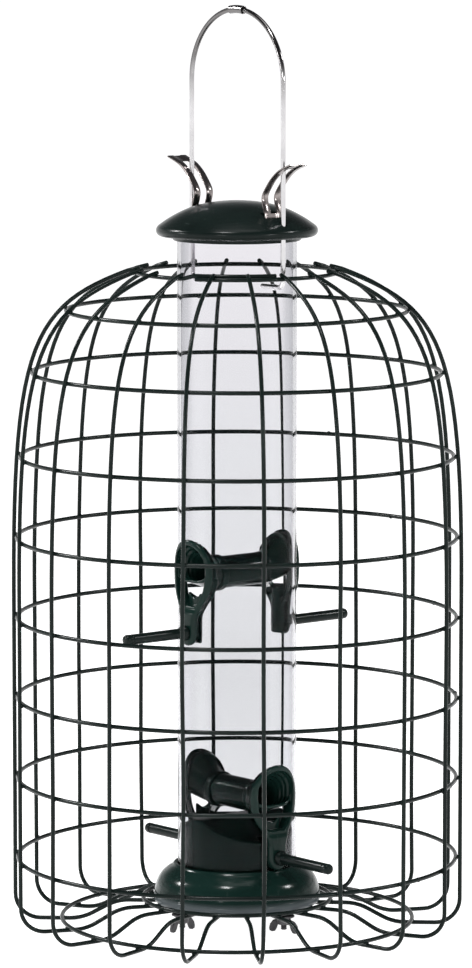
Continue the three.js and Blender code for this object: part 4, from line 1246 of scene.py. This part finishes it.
LIGHT_AIM = Vector((0, 0, 0.25))  # metres
LIGHTS = [  # name, azimuth, elevation, distance, size, watts
    ("key_left", -108, 32, 2.6, 0.42, 42),
    ("front_left", -27, 62, 2.6, 0.42, 42),
    ("key_right", 92, 32, 2.6, 0.30, 20),
    ("low_left", -85, 8, 2.6, 0.22, 8),
    ("low_front", -22, 9, 3.2, 0.22, 8),
    ("low_right", 48, 9, 2.6, 0.22, 8),
    ("top", 0, 88, 2.4, 1.2, 10),
]


def area_light(name, azimuth, elevation, distance, size, energy):
    """A square soft box; its azimuth in degrees is measured from the camera's, positive to the right."""
    data = bpy.data.lights.new(name, "AREA")
    data.size = size
    data.energy = energy
    obj = bpy.data.objects.new(name, data)
    bpy.context.scene.collection.objects.link(obj)
    a = CAMERA_AZIMUTH + math.radians(azimuth)
    e = math.radians(elevation)
    direction = Vector((math.sin(a) * math.cos(e), -math.cos(a) * math.cos(e), math.sin(e)))
    obj.location = LIGHT_AIM + distance * direction
    obj.rotation_euler = (LIGHT_AIM - obj.location).to_track_quat("-Z", "Y").to_euler()


CAMERA_AZIMUTH = math.radians(50.3)
CAMERA_DISTANCE = 2.830
CAMERA_HEIGHT = 0.5988
CAMERA_PITCH = math.radians(7.034)
FOCAL_PIXELS = 5094.0
SENSOR_WIDTH = 36.0
PICTURE_WIDTH, PICTURE_HEIGHT = 472, 968
AXIS_COLUMN = 237.0


def make_camera():
    data = bpy.data.cameras.new("camera")
    data.sensor_fit = "AUTO"
    data.sensor_width = SENSOR_WIDTH
    data.lens = FOCAL_PIXELS / PICTURE_HEIGHT * SENSOR_WIDTH
    data.shift_x = -(AXIS_COLUMN - PICTURE_WIDTH / 2) / PICTURE_HEIGHT
    data.clip_start, data.clip_end = 0.05, 200.0
    obj = bpy.data.objects.new("camera", data)
    bpy.context.scene.collection.objects.link(obj)
    x = CAMERA_DISTANCE * math.sin(CAMERA_AZIMUTH)
    y = -CAMERA_DISTANCE * math.cos(CAMERA_AZIMUTH)
    obj.location = (x, y, CAMERA_HEIGHT)
    obj.rotation_euler = (math.pi / 2 - CAMERA_PITCH, 0, CAMERA_AZIMUTH)
    bpy.context.scene.camera = obj


def make_world():
    world = bpy.data.worlds.new("studio")
    bpy.context.scene.world = world
    world.use_nodes = True
    tree = world.node_tree
    tree.nodes.clear()
    kinds = ("OutputWorld", "Background", "TexCoord", "SeparateXYZ", "ValToRGB")
    out, shade, coords, split, ramp = [tree.nodes.new("ShaderNode" + kind) for kind in kinds]
    tree.links.new(coords.outputs["Generated"], split.inputs["Vector"])
    tree.links.new(split.outputs["Z"], ramp.inputs["Fac"])
    tree.links.new(ramp.outputs["Color"], shade.inputs["Color"])
    tree.links.new(shade.outputs["Background"], out.inputs["Surface"])
    elements = ramp.color_ramp.elements
    elements[0].position, elements[0].color = 0.0, (1.0, 1.0, 1.0, 1.0)
    elements[1].position, elements[1].color = 0.50, (0.07, 0.07, 0.075, 1.0)
    elements.new(0.12).color = (1.0, 1.0, 1.0, 1.0)
    elements.new(0.30).color = (0.22, 0.22, 0.23, 1.0)
    shade.inputs["Strength"].default_value = 1.0


def make_lights():
    for light in LIGHTS:
        area_light(*light)


# ----- Assembly -----

make_uprights()
make_rings()
make_collar()
make_housing()
make_plug()
make_tube()
make_ports()
make_perches()
make_cap()
make_liner()
make_tab("latch_tab_front", "latch_front", 1)
make_tab("latch_tab_back", "latch_back", -1)
make_bail()
make_fasteners()
make_stage()
make_camera()
make_world()
make_lights()
bpy.context.scene.view_settings.view_transform = "Standard"
